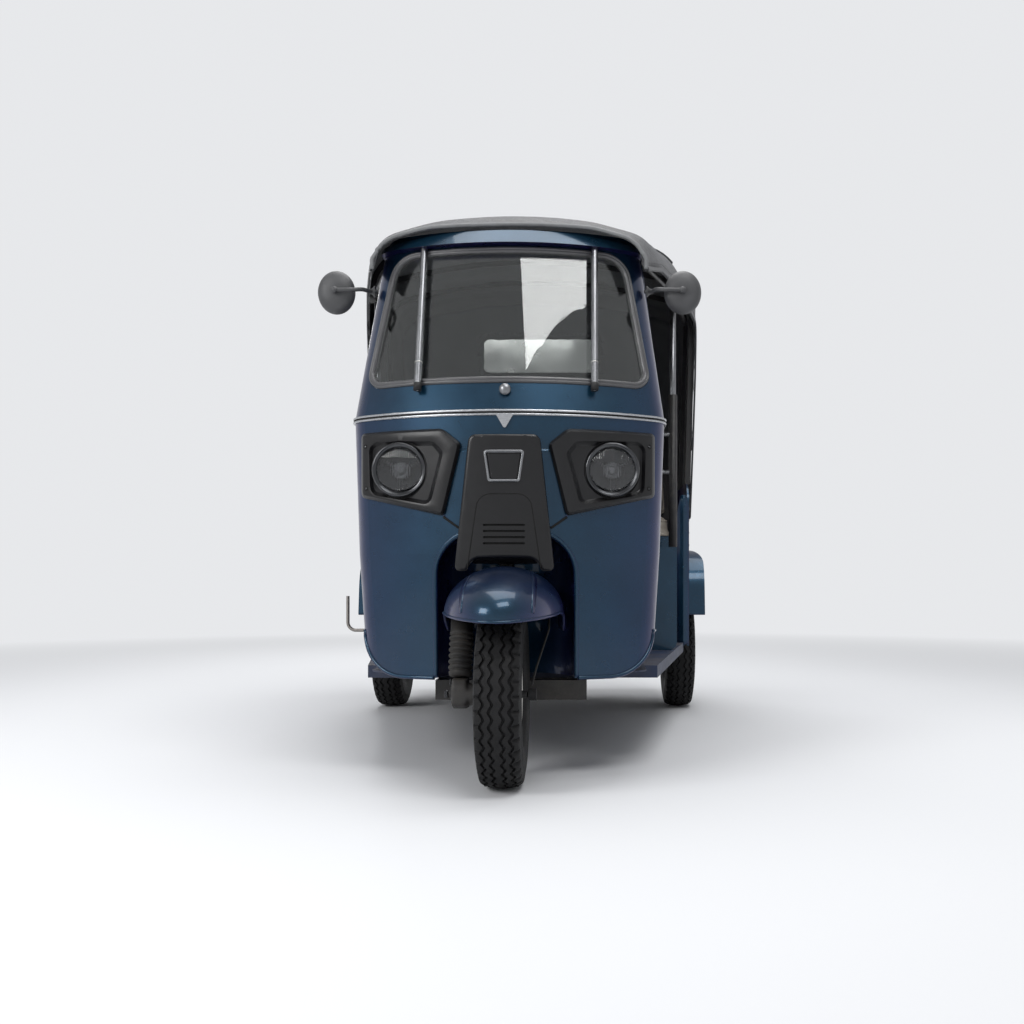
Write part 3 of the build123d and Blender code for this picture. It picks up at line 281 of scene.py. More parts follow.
def even_path(points, count, closed=False):
    """The same line divided into even steps."""
    lengths = [0.0]
    for p, q in zip(points, points[1:]):
        lengths.append(lengths[-1] + (q - p).length)
    out, k = [], 0
    steps = count if closed else count - 1
    for i in range(count):
        want = lengths[-1] * i / steps
        while k < len(points) - 2 and lengths[k + 1] < want:
            k += 1
        span = lengths[k + 1] - lengths[k]
        out.append(points[k].lerp(points[k + 1], (want - lengths[k]) / span if span else 0))
    return out


def even_loop(points, count):
    """A closed line divided into even steps."""
    return even_path([*points, points[0]], count, closed=True)


def even_line(start, end, count):
    """Even places between two, ends included."""
    return [Vector(start).lerp(Vector(end), i / (count - 1)) for i in range(count)]


def swept(path, section, closed=False, up=None, size=None):
    """A closed section of (across, out) pairs carried along a path; up gives the section's out direction per point."""
    rows = []
    total = len(path)
    carried = None
    for i, point in enumerate(path):
        if closed:
            ahead, behind = path[(i + 1) % total], path[i - 1]
        else:
            ahead, behind = path[min(i + 1, total - 1)], path[max(i - 1, 0)]
        along = (ahead - behind).normalized()
        if up is not None:
            out = Vector(up[i] if isinstance(up, list) else up)
        else:
            out = carried if carried is not None else along.orthogonal()
        out = (out - along * out.dot(along)).normalized()
        carried = out
        across = along.cross(out)
        scale = size[i] if size else 1.0
        rows.append([point + (across * a + out * o) * scale for a, o in section])
    return net(rows, round_rows=True, round_columns=closed, caps=not closed)


def ring_section(radius, sides=10, flat=1.0):
    """A round section for swept(), squashed by flat in its out direction."""
    return [(radius * c, radius * flat * s) for c, s in circle(sides)]


def half_round(width, height, low=0.002, steps=6):
    """A bead's section: a half round of this width and height with its foot sunk by low."""
    turns = [math.pi * i / steps for i in range(steps + 1)]
    arc = [(width / 2 * math.cos(turn), height * math.sin(turn)) for turn in turns]
    return [*arc, (-width / 2, -low), (width / 2, -low)]


def flat_strip(width, low, high):
    """A square-edged strip's section between two levels."""
    return [(-width / 2, low), (-width / 2, high), (width / 2, high), (width / 2, low)]


def rounded_outline(corners, radii, steps=6):
    """A closed outline in (x, z) with rounded corners."""
    out = []
    for i, (corner, radius) in enumerate(zip(corners, radii)):
        here = Vector(corner)
        if not radius:
            out.append(tuple(here))
            continue
        to_last = (Vector(corners[i - 1]) - here).normalized()
        to_next = (Vector(corners[(i + 1) % len(corners)]) - here).normalized()
        half_angle = to_last.angle(to_next) / 2
        reach = radius / math.tan(half_angle)
        middle = here + (to_last + to_next).normalized() * (radius / math.sin(half_angle))
        start = (here + to_last * reach - middle).normalized()
        end = (here + to_next * reach - middle).normalized()
        out += [tuple(middle + start.slerp(end, k / steps) * radius) for k in range(steps + 1)]
    return out


def rectangle(x0, z0, x1, z1, radius, steps=8):
    """A rectangle's outline in (x, z) with four like corners."""
    return rounded_outline([(x0, z0), (x1, z0), (x1, z1), (x0, z1)], [radius] * 4, steps)


def reshaped(node, name, finish, edit, body="body", slot=None):
    """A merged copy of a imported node, changed by edit on its bmesh, as a piece of its own."""
    mesh = bpy.data.meshes.new(name)
    with edited(NODES[node].data, mesh) as work:
        bmesh.ops.remove_doubles(work, verts=work.verts, dist=1e-5)
        edit(work)
    piece = add_piece(name, mesh, finish, body, slot or finish)
    mesh.set_sharp_from_angle(angle=math.radians(32))
    return piece


def made_real(piece):
    """The mesh of an object with its modifiers made real, which it then has no more."""
    bpy.context.view_layer.update()
    graph = bpy.context.evaluated_depsgraph_get()
    mesh = bpy.data.meshes.new_from_object(piece.evaluated_get(graph), depsgraph=graph)
    piece.modifiers.clear()
    return mesh


def in_cells(piece, size):
    """Remakes an object's mesh in small even cells."""
    remesh = piece.modifiers.new("Even cells", "REMESH")
    remesh.mode = "VOXEL"
    remesh.voxel_size = size
    return made_real(piece)


def soften(work, verts, rounds, factor):
    for _ in range(rounds):
        bmesh.ops.smooth_vert(work, verts=verts, factor=factor, use_axis_x=True, use_axis_y=True, use_axis_z=True)


def evened(piece, voxel, rounds):
    """Remakes a piece in small even cells and smooths it, so that its edges are soft as a casting's are."""
    mesh = in_cells(piece, voxel)
    with edited(mesh) as work:
        soften(work, work.verts, rounds, 0.5)
    mesh.materials.clear()
    for material in piece.data.materials:
        mesh.materials.append(material)
    shade(mesh)
    piece.data = mesh
    return piece


# ---------------------------------------------------------------- node trees
def set_inputs(tree, node, values):
    """Sets or links a node's inputs by name or number."""
    for key, value in values.items():
        socket = node.inputs[key]
        if isinstance(value, bpy.types.NodeSocket):
            tree.links.new(value, socket)
        else:
            socket.default_value = value


def add_node(tree, kind, values=(), **settings):
    """A node with its settings and its inputs."""
    made = tree.nodes.new(kind)
    for key, value in settings.items():
        setattr(made, key, value)
    set_inputs(tree, made, dict(values))
    return made


def built_once(kind, name, inputs, outputs):
    """Turns a builder into a getter of its node group.

    The builder is given the tree and its input sockets and returns one socket for each output.
    """

    def wrap(build):
        def get():
            tree = bpy.data.node_groups.get(name)
            if tree:
                return tree
            tree = bpy.data.node_groups.new(name, kind)
            for label, sort, default in inputs:
                socket = tree.interface.new_socket(name=label, in_out="INPUT", socket_type="NodeSocket" + sort)
                if default is not None:
                    socket.default_value = default
            for label, sort in outputs:
                tree.interface.new_socket(name=label, in_out="OUTPUT", socket_type="NodeSocket" + sort)
            results = build(tree, add_node(tree, "NodeGroupInput").outputs)
            end = add_node(tree, "NodeGroupOutput")
            for (label, _), socket in zip(outputs, results):
                tree.links.new(socket, end.inputs[label])
            return tree

        return get

    return wrap


# ---------------------------------------------------------------- Geometry Nodes for what repeats
def rule(name, source, inputs):
    """A geometry tree that grows a mesh from a source."""
    sockets = [(source, "Geometry", None), *inputs, ("Finish", "Material", None)]
    return built_once("GeometryNodeTree", name, sockets, [("Mesh", "Geometry")])


def placed(tree, given, points, instance, rotation, scale=None, weld=None):
    """Copies set on points, made real, welded if wanted and painted."""
    values = {"Points": points, "Instance": instance, "Rotation": rotation}
    if scale is not None:
        values["Scale"] = scale
    copies = add_node(tree, "GeometryNodeInstanceOnPoints", values).outputs[0]
    mesh = add_node(tree, "GeometryNodeRealizeInstances", {"Geometry": copies}).outputs[0]
    if weld is not None:
        mesh = add_node(tree, "GeometryNodeMergeByDistance", {"Geometry": mesh, "Distance": weld}).outputs[0]
    return [add_node(tree, "GeometryNodeSetMaterial", {"Geometry": mesh, "Material": given["Finish"]}).outputs[0]]


@rule(
    "Small parts on points", "Points",
    [("Shape", "Object", None), ("Size", "Float", 1.0), ("Spin", "Float", 0.0), ("Seed", "Int", 7)],
)
def fastener_tree(tree, given):
    """Sets one small shape on every point, turned to its facing, with a seeded spin about its own axis."""

    def named(name):
        made = add_node(tree, "GeometryNodeInputNamedAttribute", {"Name": name}, data_type="FLOAT_VECTOR")
        return made.outputs["Attribute"]

    shape = add_node(tree, "GeometryNodeObjectInfo", {"Object": given["Shape"]}).outputs["Geometry"]
    turn = add_node(tree, "FunctionNodeAlignRotationToVector", {"Vector": named("facing")}, axis="Z")
    level = add_node(
        tree, "FunctionNodeAlignRotationToVector", {"Rotation": turn.outputs[0], "Vector": named("upright")},
        axis="Y", pivot_axis="Z",
    )
    chance = add_node(tree, "FunctionNodeRandomValue", {"Seed": given["Seed"]}, data_type="FLOAT")
    spin = maths(tree, "MULTIPLY", chance.outputs[1], given["Spin"])
    axis = add_node(tree, "ShaderNodeCombineXYZ", {"Z": spin})
    spun = add_node(
        tree, "FunctionNodeRotateRotation", {"Rotation": level.outputs[0], "Rotate By": axis.outputs[0]},
        rotation_space="LOCAL",
    )
    return placed(tree, given, given["Points"], shape, spun.outputs[0], given["Size"])


@rule("Threads along a path", "Path", [("Pitch", "Float", 0.01), ("Thread", "Float", 0.0009)])
def stitch_tree(tree, given):
    """Lays short threads of even pitch along a path."""
    line = add_node(tree, "GeometryNodeMeshToCurve", {"Mesh": given["Path"]}).outputs[0]
    steps = add_node(tree, "GeometryNodeCurveToPoints", {"Curve": line, "Length": given["Pitch"]}, mode="LENGTH")
    thread = add_node(tree, "GeometryNodeMeshUVSphere", {"Segments": 6, "Rings": 4, "Radius": given["Thread"]})
    stretch = maths(tree, "MULTIPLY", maths(tree, "DIVIDE", given["Pitch"], given["Thread"]), 0.36)
    scale = add_node(tree, "ShaderNodeCombineXYZ", {"X": 1.0, "Y": 1.0, "Z": stretch}).outputs[0]
    turn = add_node(tree, "FunctionNodeAlignRotationToVector", {"Vector": steps.outputs["Tangent"]}, axis="Z")
    return placed(tree, given, steps.outputs["Points"], thread.outputs["Mesh"], turn.outputs[0], scale)


@rule("Wedges round an axle", "Wedge", [("Count", "Int", 40), ("Weld", "Float", 0.0001)])
def axle_tree(tree, given):
    """Repeats one wedge of a tyre evenly round the X axis and welds the wedges."""
    spots = add_node(tree, "GeometryNodePoints", {"Count": given["Count"]}).outputs[0]
    share = maths(tree, "DIVIDE", add_node(tree, "GeometryNodeInputIndex").outputs[0], given["Count"])
    turn = add_node(tree, "ShaderNodeCombineXYZ", {"X": maths(tree, "MULTIPLY", share, math.tau)}).outputs[0]
    return placed(tree, given, spots, given["Wedge"], turn, weld=given["Weld"])


def grown(tree, source, inputs):
    """The plain mesh that a tree makes from a source mesh; nothing of the modifier stays."""
    carrier = linked("carrier", source)
    modifier = carrier.modifiers.new("Made by rule", "NODES")
    modifier.node_group = tree
    for item in tree.interface.items_tree:
        if item.item_type == "SOCKET" and item.in_out == "INPUT" and item.name in inputs:
            modifier[item.identifier] = inputs[item.name]
    mesh = made_real(carrier)
    bpy.data.objects.remove(carrier)
    return mesh


def small_parts(name, spots, shape, finish, slot, body="body", spin=0.0, seed=7, smooth=False):
    """Small parts of one shape at spots, which are (place, facing) or (place, facing, upright)."""
    carrier = bpy.data.meshes.new(name)
    carrier.from_pydata([tuple(s[0]) for s in spots], [], [])
    facing = carrier.attributes.new("facing", "FLOAT_VECTOR", "POINT")
    upright = carrier.attributes.new("upright", "FLOAT_VECTOR", "POINT")
    for i, spot in enumerate(spots):
        facing.data[i].vector = spot[1]
        upright.data[i].vector = spot[2] if len(spot) > 2 else Z
    holder = linked("shape", mesh_of(*shape))
    inputs = {"Shape": holder, "Size": 1.0, "Spin": spin, "Seed": seed, "Finish": FINISHES[finish]}
    mesh = grown(fastener_tree(), carrier, inputs)
    bpy.data.objects.remove(holder)
    return add_piece(name, mesh, finish, body, slot, smooth)


def stitches(name, path, pitch, finish, slot):
    """A row of threads along a path of points."""
    carrier = bpy.data.meshes.new(name)
    carrier.from_pydata([tuple(p) for p in path], [(i, i + 1) for i in range(len(path) - 1)], [])
    mesh = grown(stitch_tree(), carrier, {"Pitch": float(pitch), "Thread": 0.0009, "Finish": FINISHES[finish]})
    return add_piece(name, mesh, finish, "body", slot)


def stacked(sides, levels):
    """Rings about Z from (radius, height) pairs, closed at both ends."""
    return net([[(r * c, r * s, z) for c, s in circle(sides)] for r, z in levels], round_rows=True, caps=True)


def pan_head(radius, height):
    """A domed screw head with a cross recess, its axis along Z."""
    shares = ((1, 0), (1, 0.35), (0.86, 0.75), (0.6, 0.95))
    rows = [[(radius * r * c, radius * r * s, height * z) for c, s in circle(16)] for r, z in shares]
    for share, level in ((1, 1), (0.8, 0.65)):
        cross = [radius * share * (0.2 if i % 4 else 0.46) for i in range(16)]
        rows.append([(r * c, r * s, height * level) for r, (c, s) in zip(cross, circle(16))])
    return net(rows, round_rows=True, caps=True)


def hex_head(radius, height):
    """A hexagonal bolt head on a washer, its axis along Z."""
    washer = stacked(18, [(radius * r, height * z) for r, z in ((1.3, 0), (1.3, 0.18), (1.0, 0.2))])
    nut = stacked(6, [(radius * r, height * z) for r, z in ((1.0, 0.15), (1.0, 0.85), (0.86, 1))])
    return join_nets([washer, nut])


def rivet_head(radius, height):
    """A round rivet head, its axis along Z."""
    return stacked(12, [(radius * math.cos(t), height * math.sin(t)) for t in (0, 0.4, 0.8, 1.15, 1.4)])


# ---------------------------------------------------------------- shared shader effects
def effect(name, inputs, outputs):
    """A shader node group, built once."""
    return built_once("ShaderNodeTree", name, inputs, outputs)


def maths(tree, operation, first, second=0.0, clamp=False):
    """A Math node's result."""
    return add_node(tree, "ShaderNodeMath", {0: first, 1: second}, operation=operation, use_clamp=clamp).outputs[0]


def blended(tree, share, first, second):
    """A colour mixed from two."""
    return add_node(tree, "ShaderNodeMix", {0: share, 6: first, 7: second}, data_type="RGBA").outputs[2]


def scaled(tree, colour, tone):
    """A colour or vector times a value."""
    if not isinstance(colour, bpy.types.NodeSocket):
        colour = tuple(colour)[:3]
    return add_node(tree, "ShaderNodeVectorMath", {0: colour, "Scale": tone}, operation="SCALE").outputs[0]


def place_of(tree, output="Object"):
    """Texture coordinates, of the object unless another kind is named."""
    return add_node(tree, "ShaderNodeTexCoord").outputs[output]


def axes(tree, vector):
    """The three parts of a vector."""
    return add_node(tree, "ShaderNodeSeparateXYZ", {0: vector}).outputs


def noise_value(tree, scale, detail=4.0, stretch=None, roughness=0.55):
    """Noise over the object, stretched if wanted."""
    place = place_of(tree)
    if stretch:
        place = add_node(tree, "ShaderNodeMapping", {"Vector": place, "Scale": stretch}).outputs[0]
    values = {"Vector": place, "Scale": scale, "Detail": detail, "Roughness": roughness}
    return add_node(tree, "ShaderNodeTexNoise", values).outputs[0]


def spread(tree, value, low, high, to_low=0.0, to_high=1.0):
    """A value mapped from one range to another, held at its ends."""
    values = {0: value, 1: low, 2: high, 3: to_low, 4: to_high}
    return add_node(tree, "ShaderNodeMapRange", values, clamp=True).outputs[0]


def uneven(tree, scale, detail, low=0.0, high=1.0, band=(0.3, 0.7), roughness=0.55):
    """Noise over the object, with a band of it brought to a range."""
    return spread(tree, noise_value(tree, scale, detail, roughness=roughness), *band, low, high)


@effect(
    "Road dust",
    [
        ("Colour", "Color", (0.1, 0.1, 0.1, 1)), ("Dust", "Color", (0.2, 0.17, 0.13, 1)),
        ("Height", "Float", 0.4), ("Amount", "Float", 0.5),
    ],
    [("Colour", "Color"), ("Mask", "Float")],
)
def road_dust(tree, given):
    """Dust that thickens towards the road, on ledges and in blotches."""
    low = spread(tree, maths(tree, "DIVIDE", axes(tree, place_of(tree))["Z"], given["Height"]), 1.0, 0.0)
    ledge = spread(tree, axes(tree, place_of(tree, "Normal"))["Z"], 0.55, 1.0, 0.0, 0.55)
    mask = maths(tree, "ADD", maths(tree, "MULTIPLY", low, 0.8), ledge)
    mask = maths(tree, "MULTIPLY", mask, uneven(tree, 9.0, 5.0, band=(0.35, 0.7)))
    mask = maths(tree, "MULTIPLY", mask, uneven(tree, 140.0, 3.0, 0.55, 1.0))
    mask = maths(tree, "MULTIPLY", mask, given["Amount"], clamp=True)
    return blended(tree, mask, given["Colour"], given["Dust"]), mask


@effect("Worn edges", [("Width", "Float", 0.002), ("Amount", "Float", 0.6)], [("Mask", "Float")])
def worn_edges(tree, given):
    """A mask that is bright where two faces meet and the finish has rubbed thin."""
    eased = add_node(tree, "ShaderNodeBevel", {"Radius": given["Width"]}, samples=4).outputs[0]
    plain = add_node(tree, "ShaderNodeNewGeometry").outputs["Normal"]
    match = add_node(tree, "ShaderNodeVectorMath", {0: eased, 1: plain}, operation="DOT_PRODUCT").outputs["Value"]
    patch = uneven(tree, 38.0, 6.0, band=(0.46, 0.62), roughness=0.7)
    mask = maths(tree, "MULTIPLY", spread(tree, match, 0.985, 0.86), patch)
    return [maths(tree, "MULTIPLY", mask, given["Amount"], clamp=True)]


@effect(
    "Metal flake and painted light",
    [("Front", "Color", (0.02, 0.08, 0.2, 1)), ("Side", "Color", (0.02, 0.02, 0.12, 1)), ("Flake", "Float", 600.0)],
    [("Colour", "Color"), ("Roughness", "Float"), ("Height", "Float")],
)
def flake_and_painted_light(tree, given):
    """Metallic paint with painted light and shade: faces that point forward or up take the lighter front colour, faces
    that point sideways the darker side colour, and each fine flake cell makes the colour a little lighter or darker at
    random as a painted glint; with slow drift of tone.
    """
    facing = axes(tree, place_of(tree, "Normal"))
    # Painted shade by facing: forward and upward faces lighter, sideways faces darker.
    forward = spread(tree, maths(tree, "ABSOLUTE", facing["Y"]), 0.35, 0.98)
    upward = spread(tree, facing["Z"], 0.05, 0.9, 0.0, 0.6)
    base = blended(tree, maths(tree, "ADD", forward, upward, clamp=True), given["Side"], given["Front"])
    # Painted glint: each flake cell raises or lowers the colour's brightness.
    cells = add_node(tree, "ShaderNodeTexVoronoi", {"Vector": place_of(tree), "Scale": given["Flake"]}, feature="F1")
    glint = add_node(tree, "ShaderNodeSeparateColor", {0: cells.outputs["Color"]}).outputs[0]
    bright = spread(tree, glint, 0.0, 1.0, 0.9, 1.14)
    tone = maths(tree, "MULTIPLY", bright, uneven(tree, 5.0, 3.0, 0.9, 1.1))
    return scaled(tree, base, tone), uneven(tree, 22.0, 4.0, 0.26, 0.36), noise_value(tree, 95.0, 2.0)


@effect(
    "Woven cloth", [("Colour", "Color", (0.05, 0.05, 0.05, 1)), ("Threads", "Float", 900.0)],
    [("Colour", "Color"), ("Height", "Float"), ("Slub", "Float")],
)
def woven(tree, given):
    """Plain weave on the piece's own UV map, one unit to a metre: threads over and under, with slubs."""
    sized = scaled(tree, place_of(tree, "UV"), given["Threads"])
    ways = axes(tree, sized)
    waves = [maths(tree, "SINE", maths(tree, "MULTIPLY", ways[i], math.pi)) for i in (0, 1)]
    warp, weft = (maths(tree, "ABSOLUTE", wave) for wave in waves)
    over = add_node(tree, "ShaderNodeTexChecker", {"Vector": sized, "Scale": 1.0}).outputs["Fac"]
    thread = add_node(tree, "ShaderNodeMix", {0: over, 2: warp, 3: weft}, data_type="FLOAT").outputs[0]
    slub = uneven(tree, 60.0, 5.0)
    tone = spread(tree, thread, 0.0, 1.0, 0.72, 1.12)
    tone = maths(tree, "MULTIPLY", tone, spread(tree, slub, 0.0, 1.0, 0.86, 1.12))
    return scaled(tree, given["Colour"], tone), thread, slub


@effect("Pebble grain", [("Grain", "Float", 420.0)], [("Height", "Float"), ("Crease", "Float")])
def leather_grain(tree, given):
    """Pebbled vinyl or leather: cells with creases between them."""
    place = place_of(tree)
    bend = add_node(tree, "ShaderNodeTexNoise", {"Vector": place, "Scale": 60.0, "Detail": 2.0}).outputs["Color"]
    values = {0: bend, 1: (0.004, 0.004, 0.004), 2: place}
    moved = add_node(tree, "ShaderNodeVectorMath", values, operation="MULTIPLY_ADD").outputs[0]
    values = {"Vector": moved, "Scale": given["Grain"]}
    cells = add_node(tree, "ShaderNodeTexVoronoi", values, feature="DISTANCE_TO_EDGE").outputs["Distance"]
    crease = uneven(tree, 26.0, 6.0, band=(0.42, 0.6), roughness=0.68)
    return maths(tree, "ADD", spread(tree, cells, 0.0, 0.22), maths(tree, "MULTIPLY", crease, 0.4)), crease


@effect(
    "Brushed metal", [("Stretch", "Vector", (0.02, 1.0, 1.0)), ("Scale", "Float", 900.0)],
    [("Roughness", "Float"), ("Height", "Float")],
)
def brushed(tree, given):
    """Fine parallel scratches along one axis of the object."""
    long = add_node(tree, "ShaderNodeVectorMath", {0: place_of(tree), 1: given["Stretch"]}, operation="MULTIPLY")
    values = {"Vector": long.outputs[0], "Scale": given["Scale"], "Detail": 3.0}
    lines = add_node(tree, "ShaderNodeTexNoise", values).outputs[0]
    smear = uneven(tree, 14.0, 4.0, -0.05, 0.07)
    return maths(tree, "ADD", spread(tree, lines, 0.3, 0.7, 0.24, 0.4), smear), lines


# ---------------------------------------------------------------- finishes
SHADER_SOCKETS = {
    "metal": "Metallic", "coat": "Coat Weight", "coat_rough": "Coat Roughness", "gloss": "Specular IOR Level",
    "sheen": "Sheen Weight", "sheen_rough": "Sheen Roughness", "clear": "Transmission Weight", "rough": "Roughness",
}


def finish(name, **constants):
    """A new material and its tree, with constants on the sockets of its Principled BSDF."""
    material = bpy.data.materials.new(name)
    material.use_nodes = True
    shader = material.node_tree.nodes["Principled BSDF"]
    for key, value in constants.items():
        shader.inputs[SHADER_SOCKETS.get(key, key)].default_value = value
    return material, material.node_tree


def painted(material, colour, rough, height=None, strength=0.0, distance=0.0):
    """A material with its colour, roughness and bump joined to its shader."""
    tree = material.node_tree
    inputs = tree.nodes["Principled BSDF"].inputs
    tree.links.new(colour, inputs["Base Color"])
    tree.links.new(rough, inputs["Roughness"])
    if height is not None:
        bump = add_node(tree, "ShaderNodeBump", {"Strength": strength, "Distance": distance, "Height": height})
        tree.links.new(bump.outputs[0], inputs["Normal"])
    return material


def effect_in(tree, group, **values):
    """An effect group placed in a material, as its outputs."""
    made = tree.nodes.new("ShaderNodeGroup")
    made.node_tree = group
    set_inputs(tree, made, values)
    return made.outputs


def toned(tree, colour, low, high, scale, detail=5.0):
    """A colour with slow uneven tone."""
    return scaled(tree, colour, uneven(tree, scale, detail, low, high))


def dusted(tree, colour, rough, share, amount, height, **values):
    """A colour and a roughness under road dust; the dust roughens by share."""
    dust = effect_in(tree, road_dust(), Colour=colour, Amount=amount, Height=height, **values)
    return dust["Colour"], maths(tree, "ADD", rough, maths(tree, "MULTIPLY", dust["Mask"], share), clamp=True)


def body_paint():
    """The blue metallic paint under clear lacquer, with painted light and shade by facing and painted glints in its
    flake.
    """
    paint = bpy.context.scene.rickshaw_paint
    material, tree = finish("Blue metallic paint", metal=0.6, coat=0.42, coat_rough=0.05, gloss=0.35)
    flake = effect_in(tree, flake_and_painted_light(), Front=paint.lit_front_colour, Side=paint.shaded_side_colour, Flake=1 / paint.flake_size)
    surface = dusted(
        tree, flake["Colour"], flake["Roughness"], 0.5, 0.3, paint.dust_height, Dust=(0.10, 0.095, 0.09, 1)
    )
    return painted(material, *surface, flake["Height"], 0.03, 0.0006)


def satin_paint(name, colour, rough=(0.34, 0.5), dust=0.5, wear=0.5):
    """Sprayed or powder-coated steel, rubbed at its edges and dusty below."""
    material, tree = finish(name, IOR=1.5)
    edge = effect_in(tree, worn_edges(), Width=0.0025, Amount=wear)["Mask"]
    base = blended(tree, edge, toned(tree, colour, 0.85, 1.15, 12.0), (0.16, 0.13, 0.11, 1))
    surface = dusted(tree, base, uneven(tree, 30.0, 5.0, *rough), 0.4, dust, 0.55)
    return painted(material, *surface, noise_value(tree, 420.0, 3.0), 0.12, 0.0004)


def bare_metal(name, colour, stretch=(0.02, 1, 1), rough_shift=0.0, dust=0.25, grain=900.0, depth=0.1):
    """Brushed, polished or cast metal."""
    material, tree = finish(name, metal=1.0)
    lines = effect_in(tree, brushed(), Stretch=stretch, Scale=grain)
    level = maths(tree, "ADD", lines["Roughness"], rough_shift, clamp=True)
    surface = dusted(tree, toned(tree, colour, 0.88, 1.08, 18.0), level, 0.4, dust, 0.6)
    return painted(material, *surface, lines["Height"], depth, 0.0003)


def moulded(name, colour, rough=(0.42, 0.56), grain=700.0, dust=0.25, depth=0.25, gloss=0.3):
    """Moulded plastic or rubber with a fine grain."""
    material, tree = finish(name, coat_rough=0.2, gloss=gloss)
    pebble = effect_in(tree, leather_grain(), Grain=grain)
    level = uneven(tree, 34.0, 5.0, *rough)
    surface = dusted(tree, toned(tree, colour, 0.85, 1.15, 16.0), level, 0.35, dust, 0.6)
    return painted(material, *surface, pebble["Height"], depth, 0.0002)


def seat_vinyl(name, colour, grain=300.0):
    """Coated seat cloth, with a pebble grain, soft creases darkened as painted shade, and rubbed tone."""
    material, tree = finish(name, sheen=0.08, IOR=1.46)
    pebble = effect_in(tree, leather_grain(), Grain=grain)
    # Painted shade: the colour darkens towards half its value where the creases lie.
    crease = maths(tree, "MULTIPLY", pebble["Crease"], 0.25)
    base = blended(tree, crease, toned(tree, colour, 0.82, 1.14, 7.0), (*(c * 0.5 for c in colour[:3]), 1))
    return painted(material, base, uneven(tree, 24.0, 5.0, 0.42, 0.6), pebble["Height"], 0.45, 0.0005)


def hood_cloth(name, colour, threads=850.0, depth=0.5):
    """Coated canvas: the weave shows through a dull skin, with faded and dusty patches."""
    material, tree = finish(name, sheen=0.12, sheen_rough=0.5, IOR=1.45)
    weave = effect_in(tree, woven(), Colour=colour, Threads=threads)
    faded = uneven(tree, 3.2, 6.0, band=(0.38, 0.68), roughness=0.62)
    pale = (*(min(c * 1.9 + 0.012, 1) for c in colour[:3]), 1)
    base = blended(tree, maths(tree, "MULTIPLY", faded, 0.45), weave["Colour"], pale)
    dusty = effect_in(tree, road_dust(), Colour=base, Amount=0.22, Height=0.5)["Colour"]
    rough = spread(tree, weave["Slub"], 0.0, 1.0, 0.5, 0.66)
    return painted(material, dusty, rough, weave["Height"], depth, 0.0004)


def tyre_rubber():
    """Black rubber with grey scuffs."""
    material, tree = finish("Tyre rubber", gloss=0.22)
    fine = uneven(tree, 260.0, 4.0)
    scuff = uneven(tree, 40.0, 8.0, 0.0, 0.45, band=(0.5, 0.72), roughness=0.7)
    base = blended(tree, scuff, toned(tree, (0.0105, 0.0105, 0.0112, 1), 0.75, 1.3, 25.0), (0.022, 0.021, 0.02, 1))
    return painted(material, base, spread(tree, fine, 0, 1, 0.55, 0.78), fine, 0.2, 0.0004)


def clear_glass(name, tint, smear=0.02):
    """Glass with a breath of smear on it."""
    material, tree = finish(name, clear=1.0, IOR=1.5, metal=0.0)
    mist = uneven(tree, 6.0, 6.0, 0.0, smear, band=(0.5, 0.75), roughness=0.65)
    return painted(material, toned(tree, tint, 0.97, 1.0, 3.0), mist)


def window_film():
    """Soft clear sheet, scratched and a little cloudy."""
    material, tree = finish("Clear sheet", clear=0.6, IOR=1.45)
    cloud = uneven(tree, 9.0, 6.0, 0.12, 0.3, band=(0.4, 0.7))
    waves = noise_value(tree, 12.0, 2.0, stretch=(1, 1, 0.2))
    return painted(material, toned(tree, (0.30, 0.305, 0.30, 1), 0.9, 1.0, 5.0), cloud, waves, 0.12, 0.002)


def lens_plastic(name, colour):
    """Coloured lens with moulded flutes."""
    material, tree = finish(name, clear=0.35, IOR=1.49, coat=0.6)
    flute = maths(tree, "SINE", maths(tree, "MULTIPLY", axes(tree, place_of(tree))["X"], 260.0 * math.pi))
    rough = spread(tree, flute, -1, 1, 0.12, 0.22)
    return painted(material, toned(tree, colour, 0.8, 1.1, 40.0), rough, flute, 0.6, 0.002)


def mirror_face():
    """Silvered glass."""
    material, tree = finish("Mirror glass", metal=1.0)
    rough = uneven(tree, 20.0, 6.0, 0.01, 0.05, band=(0.4, 0.8))
    return painted(material, toned(tree, (0.82, 0.84, 0.86, 1), 0.97, 1.0, 6.0), rough)


